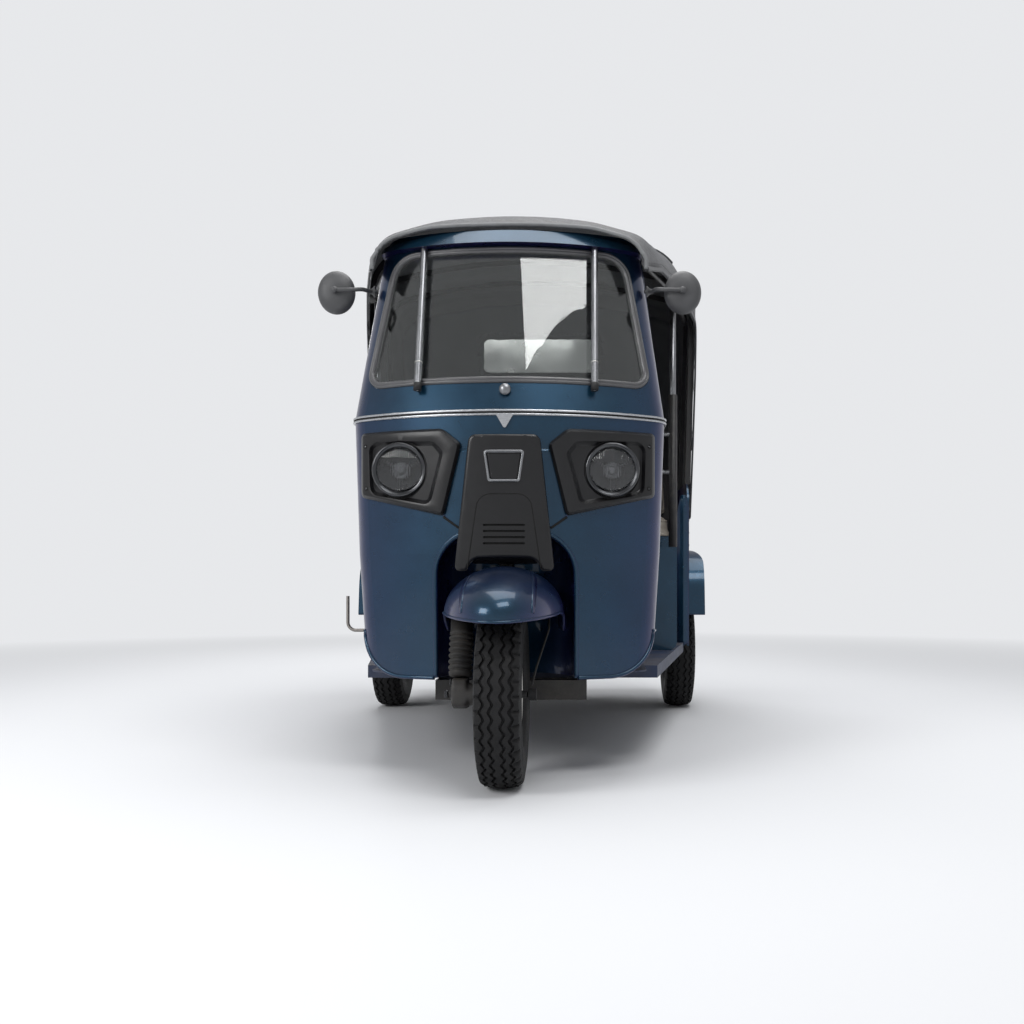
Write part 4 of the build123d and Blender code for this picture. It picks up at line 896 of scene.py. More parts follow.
FINISHES = {}
EVEN = (1, 1, 1)
FINISH_ROWS = {
    # finish: maker, material's name, colour, the maker's other values in its own order
    "black_paint": (satin_paint, "Black chassis paint", (0.012, 0.012, 0.013)),
    "glass": (clear_glass, "Windscreen glass", (0.93, 0.97, 0.95), 0.002),
    # The lamp glass is tinted grey, which darkens the lamp's inside as painted shade.
    "lamp_glass": (clear_glass, "Lamp glass", (0.6, 0.61, 0.62)),
    "seal_rubber": (moulded, "Windscreen gasket", (0.075, 0.075, 0.079), (0.3, 0.34), 900.0, 0.0, 0.01, 0.6),
    "dark_rubber": (moulded, "Dark rubber", (0.016, 0.016, 0.017), (0.5, 0.68), 500.0, 0.4, 0.3),
    "bright_trim": (bare_metal, "Bright strip", (0.47, 0.48, 0.50), (0.02, 1, 1), -0.06, 0.0),
    "stay_metal": (bare_metal, "Satin steel", (0.23, 0.235, 0.245), (1, 1, 0.03), 0.0, 0.0),
    "chrome": (bare_metal, "Chrome", (0.50, 0.51, 0.53), (0.02, 1, 1), -0.22, 0.05, 900.0, 0.02),
    "cowl_plastic": (moulded, "Satin black cover", (0.0075, 0.0075, 0.0085), (0.28, 0.34), 900.0, 0.1, 0.03, 0.38),
    "mirror_plastic": (moulded, "Grained grey plastic", (0.06, 0.061, 0.064), (0.42, 0.55), 620.0, 0.1, 0.2, 0.4),
    "dash_plastic": (moulded, "Dashboard plastic", (0.03, 0.03, 0.033), (0.5, 0.65), 430.0, 0.3, 0.35),
    "lamp_plastic": (lens_plastic, "Red lamp lens", (0.42, 0.012, 0.01)),
    "amber_plastic": (lens_plastic, "Amber lamp lens", (0.62, 0.17, 0.008)),
    "plate_paint": (satin_paint, "Plate enamel", (0.70, 0.60, 0.16), (0.24, 0.36), 0.0, 0.0),
    "thread": (moulded, "Seam thread", (0.10, 0.10, 0.105), (0.6, 0.8), 1500.0, 0.0),
    "pale_thread": (moulded, "Pale thread", (0.36, 0.34, 0.30), (0.6, 0.8), 1500.0, 0.0),
    "cast_metal": (satin_paint, "Painted casting", (0.016, 0.016, 0.017), (0.42, 0.6), 0.35, 0.5),
    # Painted shade in reflections: the lamp reflector and the chrome below are given near-black colours, so that they
    # mirror the pale studio as dimly as bright metal mirrors dark surroundings.
    "reflector": (bare_metal, "Lamp reflector", (0.045, 0.047, 0.052), EVEN, -0.12, 0.0, 60.0, 0.05),
    "dark_chrome": (bare_metal, "Dark chrome", (0.07, 0.072, 0.076), EVEN, -0.14, 0.0, 60.0, 0.03),
    "floor_paint": (satin_paint, "Blue floor paint", (0.012, 0.024, 0.062), (0.5, 0.64), 0.6, 0.4),
    "engine_metal": (bare_metal, "Engine casting", (0.24, 0.24, 0.245), EVEN, 0.26, 0.7, 240.0, 0.6),
    "rim_paint": (satin_paint, "Silver wheel enamel", (0.42, 0.43, 0.45), (0.3, 0.45), 0.55, 0.45),
    "galvanised": (bare_metal, "Sooted steel pipe", (0.30, 0.28, 0.265), EVEN, 0.2, 0.6, 160.0, 0.3),
    "zinc": (bare_metal, "Zinc-plated fastener", (0.58, 0.57, 0.54), EVEN, 0.02, 0.1, 600.0, 0.1),
    "mat": (moulded, "Ribbed floor rubber", (0.03, 0.03, 0.031), (0.55, 0.75), 420.0, 0.5, 0.3),
    "pearl": (satin_paint, "Pearl bulb glass", (0.62, 0.63, 0.66), (0.12, 0.2), 0.0, 0.0),
    # Near black: the real black of the dial faces and the plate's border, and painted shade where strips, discs and
    # sheets stand in for the dark of grooves, slits, holes and the space behind the louvres.
    "void": (moulded, "Dark recess", (0.006, 0.006, 0.006), (0.7, 0.85), 300.0, 0.0, 0.1),
}


def make_finishes():
    """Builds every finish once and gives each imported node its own."""
    cloth = bpy.context.scene.rickshaw_cloth
    seats = bpy.context.scene.rickshaw_seats
    FINISHES.update({key: make(label, (*tint, 1), *rest) for key, (make, label, tint, *rest) in FINISH_ROWS.items()})
    FINISHES.update(
        blue_paint=body_paint(),
        tyre=tyre_rubber(),
        canvas=hood_cloth("Coated canvas", tuple(cloth.canvas_colour)),
        bead_cloth=hood_cloth("Bead cloth", tuple(cloth.bead_colour), 700.0, 0.3),
        grey_vinyl=seat_vinyl("Grey seat vinyl", tuple(seats.driver_colour)),
        beige_vinyl=seat_vinyl("Beige bench vinyl", tuple(seats.bench_colour), 260.0),
        clear_sheet=window_film(),
        mirror_glass=mirror_face(),
    )
    for node in NODES.values():
        for place in node.material_slots:
            name = place.material.name.split(".")[0] if place.material else ""
            if name not in FINISHES:
                raise RuntimeError(f"{node.name} has no finish named {name}")
            place.material = FINISHES[name]


# ---------------------------------------------------------------- operators
class RICKSHAW_OT_finishes(bpy.types.Operator):
    """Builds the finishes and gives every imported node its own"""

    bl_idname = "rickshaw.finishes"
    bl_label = "Finishes"

    def execute(self, context):
        make_finishes()
        return {"FINISHED"}


LAMPS = {
    # name: place, aim, size, share of the key lamp's power
    "Key lamp": ((1.35, -3.3, 5.15), (0.05, -0.9, 1.2), (2.7, 1.6), 0.65),
    "Fill lamp": ((-3.4, -4.2, 2.9), (0, -0.5, 0.9), (2.2, 2.0), 0.8),
    "Top lamp": ((0.2, 0.2, 4.6), (0, 0.1, 1.0), (3.4, 3.0), 0.8),
    "Back lamp": ((-1.0, 4.8, 3.2), (0, 0.4, 1.0), (2.4, 1.6), 0.5),
}


class RICKSHAW_OT_stage(bpy.types.Operator):
    """Makes the pale floor, the even sky, the soft lamps and the camera"""

    bl_idname = "rickshaw.stage"
    bl_label = "Stage"

    FLOOR_RINGS = (0.001, 2, 4, 8, 16, 40)
    CAMERA_PLACE = (0.233, -4.280, 0.589)

    def execute(self, context):
        settings = context.scene.rickshaw_stage
        pale = tuple(settings.backdrop)
        self.sky(context, settings, pale)
        self.floor(pale)
        for name, (place, aim, (wide, tall), share) in LAMPS.items():
            lamp = bpy.data.lights.new(name, "AREA")
            lamp.shape = "RECTANGLE"
            lamp.size, lamp.size_y = wide, tall
            lamp.energy = settings.key_power * share
            holder = linked(name, lamp)
            holder.location = place
            holder.rotation_euler = (Vector(aim) - Vector(place)).to_track_quat("-Z", "Y").to_euler()
        lens = bpy.data.cameras.new("Camera")
        lens.lens, lens.sensor_width = 39.94, 36.0
        lens.clip_start, lens.clip_end = 0.05, 200
        lens.shift_x, lens.shift_y = -0.0742, 0.0586
        camera = linked("Camera", lens)
        camera.location = self.CAMERA_PLACE
        camera.rotation_euler = (math.radians(90), 0, 0)
        context.scene.camera = camera
        context.scene.view_settings.view_transform = "Standard"
        return {"FINISHED"}

    @staticmethod
    def sky(context, settings, pale):
        """An even sky: the backdrop's colour to the eye, and weaker as a light."""
        world = bpy.data.worlds.new("Studio")
        context.scene.world = world
        world.use_nodes = True
        tree = world.node_tree
        ray = add_node(tree, "ShaderNodeLightPath").outputs
        # Mirrored sky: as pale as the floor at the horizon, and half as pale well above it.
        height = spread(tree, axes(tree, place_of(tree, "Generated"))["Z"], 0.0, 0.42)
        mirrored = maths(tree, "SUBTRACT", 1.0, maths(tree, "MULTIPLY", height, 0.5))
        seen = maths(tree, "MAXIMUM", ray["Is Camera Ray"], ray["Is Transmission Ray"])
        seen = maths(tree, "MAXIMUM", seen, maths(tree, "MULTIPLY", ray["Is Glossy Ray"], mirrored))
        strength = maths(tree, "ADD", maths(tree, "MULTIPLY", seen, 1 - settings.sky), settings.sky)
        set_inputs(tree, tree.nodes["Background"], {"Color": pale, "Strength": strength})

    def floor(self, pale):
        """A round floor that glows as the backdrop does far from the vehicle."""
        rows = [[Vector((r * c, r * s, 0)) for c, s in circle(96)] for r in self.FLOOR_RINGS]
        mesh = mesh_of(*net(rows, round_rows=True))
        if mesh.polygons[0].normal.z < 0:
            mesh.flip_normals()
        floor = linked("studio_floor", mesh)
        material, tree = finish("Studio floor", rough=0.85)
        shader = tree.nodes["Principled BSDF"]
        shader.inputs["Base Color"].default_value = pale
        far = add_node(tree, "ShaderNodeVectorMath", {0: place_of(tree)}, operation="LENGTH").outputs["Value"]
        glow = add_node(tree, "ShaderNodeEmission", {"Color": pale, "Strength": 1.0}).outputs[0]
        values = {0: spread(tree, far, 3.2, 7.0), 1: shader.outputs[0], 2: glow}
        mix = add_node(tree, "ShaderNodeMixShader", values).outputs[0]
        tree.links.new(mix, tree.nodes["Material Output"].inputs["Surface"])
        mesh.materials.append(material)


# ---------------------------------------------------------------- hood
BOW_PLACES = (232, 640, 1099, 1380, 1662, 2060, 2480)
HEM_LINE = (
    (232, 1478), (560, 1560), (1000, 1612), (1560, 1617), (1604, 1580),
    (1668, 835), (1700, 815), (2430, 815), (2490, 900),
)
AXIS_HEIGHT = 1.60
TURN_PLACE = 2180  # behind this the hood is cast from a point and not from an axis
TURN_Y = back(TURN_PLACE)
COLUMNS = 216
UNDER = 0.0045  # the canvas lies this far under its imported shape
TAIL_SLOPE = 0.1453


def line_height(line, place):
    """Height on a line of (place, height) pairs, level past its ends."""
    for (a, low), (b, high) in zip(line, line[1:]):
        if place <= b:
            return low + (high - low) * (place - a) / (b - a)
    return line[-1][1]


def hem_height(place):
    """Height of the canvas hem at a place behind the front axle, both in millimetres."""
    return line_height(HEM_LINE, place)


class Skin:
    """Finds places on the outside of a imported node."""

    REACH = 3.0

    def __init__(self, node):
        mesh = NODES[node].data
        self.tree = BVHTree.FromPolygons([v.co for v in mesh.vertices], [p.vertices for p in mesh.polygons])

    def hit(self, centre, direction):
        """The outermost place on the node along a direction from a centre, with its outward normal."""
        direction = Vector(direction).normalized()
        place, normal, _, _ = self.tree.ray_cast(centre + direction * self.REACH, -direction, self.REACH)
        if place is None:
            return None, None
        return place, normal if normal.dot(direction) > 0 else -normal


class RICKSHAW_OT_hood(bpy.types.Operator):
    """Stretches one sheet of canvas over the bows, round the tail and down to its hems, and edges it"""

    bl_idname = "rickshaw.hood"
    bl_label = "Hood"

    SEAM = [(-0.016, -0.003), (-0.013, 0.0015), (0.013, 0.0015), (0.016, -0.003)]
    WINDOW_STRIP = [(-0.021, -0.006), (-0.019, 0.0005), (0.019, 0.0005), (0.021, -0.006)]

    def execute(self, context):
        self.cloth = context.scene.rickshaw_cloth
        self.skin = Skin("hood_canopy")
        canvas = self.canvas()
        self.edge_bead()
        self.window_binding()
        self.hem_bindings()
        self.seams()
        self.straps()
        return {"FINISHED"}

    def place_at(self, station, column):
        """The place and normal on the hood for a station along it and a column round it."""
        angle = math.tau * column / COLUMNS
        way = Vector((math.cos(angle), 0, math.sin(angle)))
        if station > TURN_PLACE:
            tip = math.radians((station - TURN_PLACE) / 10)
            way = way * math.cos(tip) + Y * math.sin(tip)
        return self.skin.hit(Vector((0, min(back(station), TURN_Y), AXIS_HEIGHT)), way)

    @staticmethod
    def eased(place, normal):
        """How far the shoulders are drawn in at the front edge, where the cloth turns round the first bow."""
        front = max(0.0, 1 - (place.y - back(BOW_PLACES[0])) / 0.42)
        share = min(max((abs(place.x) - 0.22) / 0.16, 0), 1)
        return 0.020 * front * share * share * (3 - 2 * share) * max(normal.z, 0) ** 0.5

    def drop(self, place, normal):
        """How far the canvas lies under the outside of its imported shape: most between two bows."""
        distance = (place.y - FRONT_AXLE) * 1000
        sag = 0.0
        for a, b in zip(BOW_PLACES, BOW_PLACES[1:]):
            if a <= distance <= b:
                # The first span rises behind the front bead instead.
                sag = math.sin(math.pi * (distance - a) / (b - a)) ** 2 * (-1.5 if a < 600 else 1)
        up = max(normal.z, 0.0)
        side = 0.35 * (1 - up) if place.z < 1.7 else 0.0
        folds = noise.noise(Vector((place.x * 3, place.y * 9, place.z * 2.2)))
        fine = noise.noise(Vector((place.x * 14, place.y * 22, place.z * 7 + 5)))
        hem = max(0.0, 1 - abs(place.z * 1000 - hem_height(distance)) / 120)
        waves = 0.0022 * folds * (0.3 + side + 0.5 * hem)
        return self.eased(place, normal) + UNDER + self.cloth.sag * sag * (up + side) + waves + 0.0007 * fine

    def canvas(self):
        """The sheet itself, thickened."""
        start = BOW_PLACES[0] + 0.5
        stations = [start + (TURN_PLACE - start) * i / 84 for i in range(85)]
        stations += [TURN_PLACE + 900 * i / 46 for i in range(1, 46)]
        points, faces, maps, index = [], [], [], {}
        for s, station in enumerate(stations):
            for c in range(COLUMNS):
                place, normal = self.place_at(station, c)
                if place is None or normal.dot(place - Vector((0, min(place.y, TURN_Y), AXIS_HEIGHT))) <= 0:
                    continue
                index[s, c] = len(points)
                points.append(place - normal * self.drop(place, normal))
                maps.append((c * 0.0205, station / 1000))
        for s in range(len(stations) - 1):
            for c in range(COLUMNS):
                after = (c + 1) % COLUMNS
                ring = [(s, c), (s + 1, c), (s + 1, after), (s, after)]
                if all(key in index for key in ring):
                    corner = [points[index[key]] for key in ring]
                    if max((corner[i] - corner[i - 1]).length for i in range(4)) < 0.11:
                        faces.append(tuple(index[key] for key in ring))
        mesh = bpy.data.meshes.new("hood_canvas")
        mesh.from_pydata(points, [], faces)
        chart = mesh.uv_layers.new(name="Cloth")
        for loop in mesh.loops:
            chart.data[loop.index].uv = maps[loop.vertex_index]
        with edited(mesh) as work:
            bmesh.ops.delete(work, geom=[v for v in work.verts if not v.link_faces], context="VERTS")
            soften(work, [v for v in work.verts if not v.is_boundary], 2, 0.35)
            for v in [v for v in work.verts if v.is_boundary]:
                self.to_hem(v)
            bmesh.ops.recalc_face_normals(work, faces=work.faces)
            self.area = sum(f.calc_area() for f in work.faces)
        piece = add_piece("hood_canvas", mesh, "canvas", "body", "canvas")
        thick = piece.modifiers.new("Cloth thickness", "SOLIDIFY")
        thick.thickness = 0.003
        thick.offset = -1
        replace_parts(piece, "hood_canopy")
        return piece

    def to_hem(self, vertex):
        """Brings a border vertex that is near the hem line onto it."""
        at = vertex.co
        hem = hem_height((at.y - FRONT_AXLE) * 1000) / 1000
        if abs(at.z - hem) < (0.055 if at.y < back(2380) else 0.11):
            centre = Vector((0, min(at.y, TURN_Y), hem))
            place, normal = self.skin.hit(centre + Z * 0.001, (at.x, at.y - centre.y, 0))
            if place is not None:
                vertex.co = place - normal * UNDER

    def edge_bead(self):
        """The thick roll along the hood's front edge, from hem to hem, and the stitches behind it."""
        path = []
        for i in range(241):
            turn = math.radians(-14 + 208 * i / 240)
            centre = Vector((0, back(237), AXIS_HEIGHT - 0.06))
            place, normal = self.skin.hit(centre, (math.cos(turn), 0, math.sin(turn)))
            if place is not None and place.z > 1.475:
                path.append(place - normal * (0.003 + self.eased(place, normal)))
        path = even_path(path, 170)
        bead = swept(path, ring_section(0.0062, 12), up=self.outward(path))
        add_nets("hood_front_bead", [bead], "bead_cloth", "canvas")
        stitches("hood_front_stitches", [p + Y * 0.020 for p in path], self.cloth.stitch_pitch, "thread", "canvas")

    def window_binding(self):
        """The cloth strip round the rear window, with a row of stitches at either edge."""
        path = []
        for x, z in rectangle(-0.291, 1.556, 0.291, 1.746, 0.046):
            start = Vector((x * 1.03, 1.0, (z - 1.651) * 1.05 + 1.651))
            place, _ = self.skin.hit(start, Y)
            if place is None:
                place = Vector((start.x, back(2582 - (z * 1000 - 930) * TAIL_SLOPE), start.z))
            path.append(place)
        path = even_loop(path, 120)
        out = Vector((0, 1, TAIL_SLOPE)).normalized()
        binding = swept(path, self.WINDOW_STRIP, closed=True, up=out)
        add_nets("rear_window_binding", [binding], "canvas", "canvas")
        middle = sum(path, Vector()) / len(path)
        for name, share in (("inner", -0.014), ("outer", 0.015)):
            row = [p + (p - middle).normalized() * share + out * 0.001 for p in path]
            stitches(f"rear_window_stitches_{name}", row + row[:1], 0.01, "pale_thread", "canvas")

    def hem_bindings(self):
        """The rolled hems: one along each side and one round the tail."""
        roll = ring_section(0.0075, 8, 0.55)
        places = [(236 + 1354 * i / 59, 0.006) for i in range(60)] + [(1606 + 62 * i / 27, 0) for i in range(28)]
        places += [(1690 + 730 * i / 39, 0.006) for i in range(40)]
        for side, word in SIDES:
            cast = [self.skin.hit(Vector((0, back(u), hem_height(u) / 1000 + rise)), X * side) for u, rise in places]
            path = even_path([spot for spot, _ in cast if spot is not None], 220)
            add_nets(f"hood_hem_{word}", [swept(path, roll, up=(side, 0, 0.2))], "canvas", "canvas")
            row = [p + Vector((side * 0.0006, 0, 0.018)) for p in path[:120]]
            stitches(f"hood_hem_stitches_{word}", row, self.cloth.stitch_pitch, "thread", "canvas")
        path = []
        for i in range(181):
            turn, place = math.radians(i), 2500.0
            for _ in range(3):
                centre = Vector((0, TURN_Y, hem_height(place) / 1000 + 0.005))
                spot, _ = self.skin.hit(centre, (math.cos(turn), math.sin(turn), 0))
                place = 2500.0 if spot is None else (spot.y - FRONT_AXLE) * 1000
            if spot is not None and place > 2415:
                path.append(spot)
        path = even_path(path, 160)
        tail = swept(path, roll, up=[(p - Vector((0, TURN_Y, p.z))).normalized() for p in path])
        add_nets("hood_hem_tail", [tail], "canvas", "canvas")

    def seams(self):
        """Flat seams across the hood over four of the bows."""
        parts = []
        for place in (640, 1099, 1662, 2060):
            path = []
            for i in range(70):
                angle = math.radians(14 + 152 * i / 69)
                centre = Vector((0, back(place), AXIS_HEIGHT))
                spot, normal = self.skin.hit(centre, (math.cos(angle), 0, math.sin(angle)))
                if spot is not None:
                    path.append(spot - normal * 0.0035)
            parts.append(swept(path, self.SEAM, up=self.outward(path)))
        add_nets("hood_cross_seams", parts, "canvas", "canvas")

    @staticmethod
    def outward(path):
        """The way out from the hood's axis at each point of a path."""
        return [(p - Vector((0, p.y, AXIS_HEIGHT))).normalized() for p in path]

    def straps(self):
        """The tie-back flaps at the curtains' front edges, with their studs."""
        flaps, studs = [], []
        ways = (
            (0.652, 1652, 1.664), (0.664, 1650, 1.640), (0.676, 1648, 1.600), (0.684, 1648, 1.560), (0.686, 1650, 1.528)
        )
        for side in (1, -1):
            path = smooth_path([(side * x, back(u), z) for x, u, z in ways], 14)
            flaps.append(swept(path, flat_strip(0.032, -0.0012, 0.0012), up=(side, 0, 0.3)))
            studs += [self.skin.hit(Vector((0, back(1686), z)), X * side) for z in (1.456, 1.18, 0.93)]
        add_nets("hood_tie_flaps", flaps, "canvas", "canvas")
        dome = turned([(-0.003, 0.0068), (0.0005, 0.0068), (0.002, 0.005), (0.003, 0.0001)], segments=16)
        small_parts("hood_studs", studs, dome, "stay_metal", "canvas", smooth=True)


# ---------------------------------------------------------------- seats
SEAT_PADS = {
    # piece: node, finish, way it faces, cap on movement, voxel, shrink, axis and places of its grooves
    "driver_seat_pad": ("driver_cushion", "grey_vinyl", (0, 0, 1), 0.013, 0.006, 0.010, 1, (-0.36, -0.21)),
    "driver_back_pad": ("driver_backrest", "grey_vinyl", (0, -1, 0), 0.010, 0.005, 0.007, 2, (0.985, 1.075)),
    "bench_seat_pad": ("passenger_cushion", "beige_vinyl", (0, 0, 1), 0.018, 0.009, 0.012, 0, (-0.3, 0.0, 0.3)),
    "bench_back_pad": (
        "passenger_backrest", "beige_vinyl", (0, -1, 0), 0.018, 0.009, 0.012, 0, (-0.42, -0.21, 0.0, 0.21, 0.42)
    ),
}


class Pad:
    """One seat cushion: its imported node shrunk, blown up as cloth, domed, sewn and piped."""

    def __init__(self, name, node, finish, facing, cap, voxel, shrink, axis, places):
        self.name, self.node, self.finish, self.cap, self.voxel, self.shrink = name, node, finish, cap, voxel, shrink
        self.low, self.high = (Vector(corner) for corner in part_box(node))
        self.middle = (self.low + self.high) / 2
        self.size = self.high - self.low
        self.facing = Vector(facing)
        self.reach = abs(self.size.dot(self.facing))
        self.ways = [i for i in range(3) if abs(facing[i]) < 0.5]
        self.axis, self.places = axis, places

    def height(self, place):
        """How high a place is in the pad, from 0 at its base to 1 at its face."""
        return (place - self.middle).dot(self.facing) / self.reach + 0.5

    def make(self, context):
        mesh = bpy.data.meshes.new(self.name)
        with edited(NODES[self.node].data, mesh) as work:
            bmesh.ops.remove_doubles(work, verts=work.verts, dist=1e-5)
            for v in work.verts:
                offset = v.co - self.middle
                v.co = self.middle + Vector(offset[i] * (1 - 2 * self.shrink / self.size[i]) for i in range(3))
                v.co -= self.facing * self.shrink * 0.9
        piece = linked(self.name, mesh)
        mesh = piece.data = in_cells(piece, self.voxel)
        self.blow(context, piece)
        self.crown(mesh)
        self.sew(mesh)
        smooth = piece.modifiers.new("Smooth skin", "SUBSURF")
        smooth.levels = smooth.render_levels = 1
        mesh = piece.data = made_real(piece)
        mesh.name = self.name
        mesh.materials.append(FINISHES[self.finish])
        shade(mesh)
        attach(piece, "body")
        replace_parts(piece, self.node)
        self.pipe(mesh)

    def blow(self, context, piece):
        """A short cloth simulation with air pressure; the side that rests on the seat base stays flat."""
        before = [v.co.copy() for v in piece.data.vertices]
        settings = context.scene.rickshaw_seats
        cloth = piece.modifiers.new("Air", "CLOTH")
        rules = cloth.settings
        rules.use_pressure = True
        rules.uniform_pressure_force = settings.pressure
        rules.effector_weights.gravity = 0
        rules.tension_stiffness = rules.compression_stiffness = 12
        rules.quality = 4
        cloth.collision_settings.use_collision = False
        cloth.collision_settings.use_self_collision = False
        cloth.point_cache.frame_start, cloth.point_cache.frame_end = 1, settings.frames
        for number in range(1, settings.frames + 1):
            context.scene.frame_set(number)
        graph = context.evaluated_depsgraph_get()
        after = [v.co.copy() for v in piece.evaluated_get(graph).data.vertices]
        piece.modifiers.clear()
        context.scene.frame_set(1)
        for v, old, new in zip(piece.data.vertices, before, after):
            move = new - old
            if move.length > self.cap:
                move = move.normalized() * self.cap
            hold = min(max((self.height(old) - 0.04) / 0.25, 0.0), 1.0)
            v.co = old + move * hold

    def crown(self, mesh):
        """Domes the face a little and draws the sides in between the corners."""
        for v in mesh.vertices:
            a, b = ((v.co[i] - self.middle[i]) / self.size[i] * 2 for i in self.ways)
            height = max(self.height(v.co), 0)
            v.co += self.facing * 0.008 * max(1 - a * a, 0) * max(1 - b * b, 0) * height**2
            v.co += self.facing * 0.0018 * noise.noise(v.co * 9) * height

    def sew(self, mesh):
        """Presses sewn channels into the face, with small puckers beside them."""
        other = next(i for i in self.ways if i != self.axis)
        for v in mesh.vertices:
            if self.height(v.co) < 0.55:
                continue
            near = min(abs(v.co[self.axis] - place) for place in self.places)
            off = abs(v.co[other] - self.middle[other]) / self.size[other] * 2
            end = 1 - min(max((off - 0.86) / 0.12, 0), 1)
            pucker = 1 + 0.3 * math.sin(v.co[other] * 230)
            channel = 0.0075 * math.exp(-((near / 0.007) ** 2)) + 0.003 * pucker * math.exp(-((near / 0.024) ** 2))
            v.co -= self.facing * channel * end

    def pipe(self, mesh):
        """Piping and stitches round the front rim of the pad."""
        tree = BVHTree.FromPolygons([v.co for v in mesh.vertices], [p.vertices for p in mesh.polygons])

        def on_skin(place, out):
            near, normal, _, _ = tree.find_nearest(place)
            return near + normal * out

        first, second = self.ways
        wide, tall = (self.size[i] / 2 - 0.012 for i in self.ways)
        level = (self.middle + self.facing * self.reach * 0.30).dot(self.facing)
        path = []
        for a, b in rectangle(-wide, -tall, wide, tall, 0.035):
            spot = Vector((0, 0, 0))
            spot[first], spot[second] = self.middle[first] + a, self.middle[second] + b
            path.append(on_skin(spot + self.facing * (level - spot.dot(self.facing)), 0.0012))
        path = even_loop(path, 260 if self.size.x > 0.8 else 150)
        piping = swept(path, ring_section(0.0042, 8), closed=True, up=self.facing)
        add_nets(f"{self.name}_piping", [piping], self.finish, self.finish)
        row = [on_skin(p - self.facing * 0.0115, 0.0004) for p in path]
        stitches(f"{self.name}_stitches", row + row[:1], 0.009, "pale_thread", self.finish)


class RICKSHAW_OT_seats(bpy.types.Operator):
    """Blows up the seat pads as cloth, then sews their channels and pipes their edges"""

    bl_idname = "rickshaw.seats"
    bl_label = "Seats"

    def execute(self, context):
        for name, facts in SEAT_PADS.items():
            Pad(name, *facts).make(context)
        return {"FINISHED"}


# ---------------------------------------------------------------- tyres and wheels
TYRE_WALL = [  # across, radius
    (-0.0475, 0.1325), (-0.052, 0.140), (-0.055, 0.146), (-0.0565, 0.148), (-0.0595, 0.165), (-0.0622, 0.182),
    (-0.0628, 0.195), (-0.0624, 0.206), (-0.0628, 0.2072), (-0.0618, 0.209), (-0.0605, 0.221), (-0.0585, 0.232),
]
TYRE_SHOULDER = [(-0.0570, 0.2385, 0.3), (-0.0545, 0.2425, 0.5), (-0.0470, 0.2462, 0.6)]  # and share of the zigzag
TYRE_GROOVES = (-0.0375, -0.0145, 0.0145, 0.0375)


def crown_radius(across):
    """The tread's radius, which falls a little to its edges."""
    return TYRE_RADIUS - 0.0002 - (abs(across) / 0.05) ** 2.4 * 0.0068


class RICKSHAW_OT_tyres(bpy.types.Operator):
    """Builds one wedge of zigzag tread and sidewall and repeats it round each axle"""

    bl_idname = "rickshaw.tyres"
    bl_label = "Tyres"

    def columns(self, depth):
        """The tyre's section from side to side, as (across, radius, share of the zigzag)."""
        near = [(across, radius, 0.0) for across, radius in TYRE_WALL] + TYRE_SHOULDER
        tread = []
        for place in TYRE_GROOVES:
            for shift, deep in ((-0.0042, 0), (-0.0028, depth), (0.0028, depth), (0.0042, 0)):
                tread.append((place + shift, crown_radius(place + shift) - deep, 1.0))
            if place < TYRE_GROOVES[-1]:
                middle = place + (0.0115 if place else 0)
                tread.append((middle, crown_radius(middle), 1.0))
        return [*near, *tread, *((-across, radius, share) for across, radius, share in reversed(near))]

    def wedge(self, settings, steps=12):
        """One pitch of the tyre: columns across it, rows along a part of a turn."""
        rows = []
        for k in range(steps + 1):
            angle = math.tau / settings.pitches * k / steps
            swing = max(-0.7, min(0.7, abs(2 * k / steps - 1) * 2 - 1)) * settings.zigzag
            notch = max(0.0, 1 - abs(k / steps - 0.5) / 0.17) ** 0.6
            row = []
            for across, radius, share in self.columns(settings.groove_depth):
                if share > 0.9:
                    across += swing * share
                elif share > 0.2:
                    across, radius = across * (1 - 0.05 * notch), radius - 0.0075 * notch
                row.append(Vector((across, radius * math.sin(angle), radius * math.cos(angle))))
            rows.append(row)
        return mesh_of(*net(rows), name="wedge")

    def execute(self, context):
        settings = context.scene.rickshaw_tyres
        wedge = self.wedge(settings)
        for wheel, (body, x, y, _) in HUBS.items():
            inputs = {"Count": settings.pitches, "Weld": 0.00005, "Finish": FINISHES["tyre"]}
            mesh = grown(axle_tree(), wedge.copy(), inputs)
            mesh.transform(Matrix.Translation((x, y, TYRE_RADIUS)))
            with edited(mesh) as work:
                bmesh.ops.bridge_loops(work, edges=[e for e in work.edges if e.is_boundary])
                bmesh.ops.recalc_face_normals(work, faces=work.faces)
            piece = add_piece(f"{wheel}_tyre_tread", mesh, "tyre", body, "tyre")
            mesh.set_sharp_from_angle(angle=math.radians(38))
            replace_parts(piece, f"{wheel}_tyre")
        return {"FINISHED"}


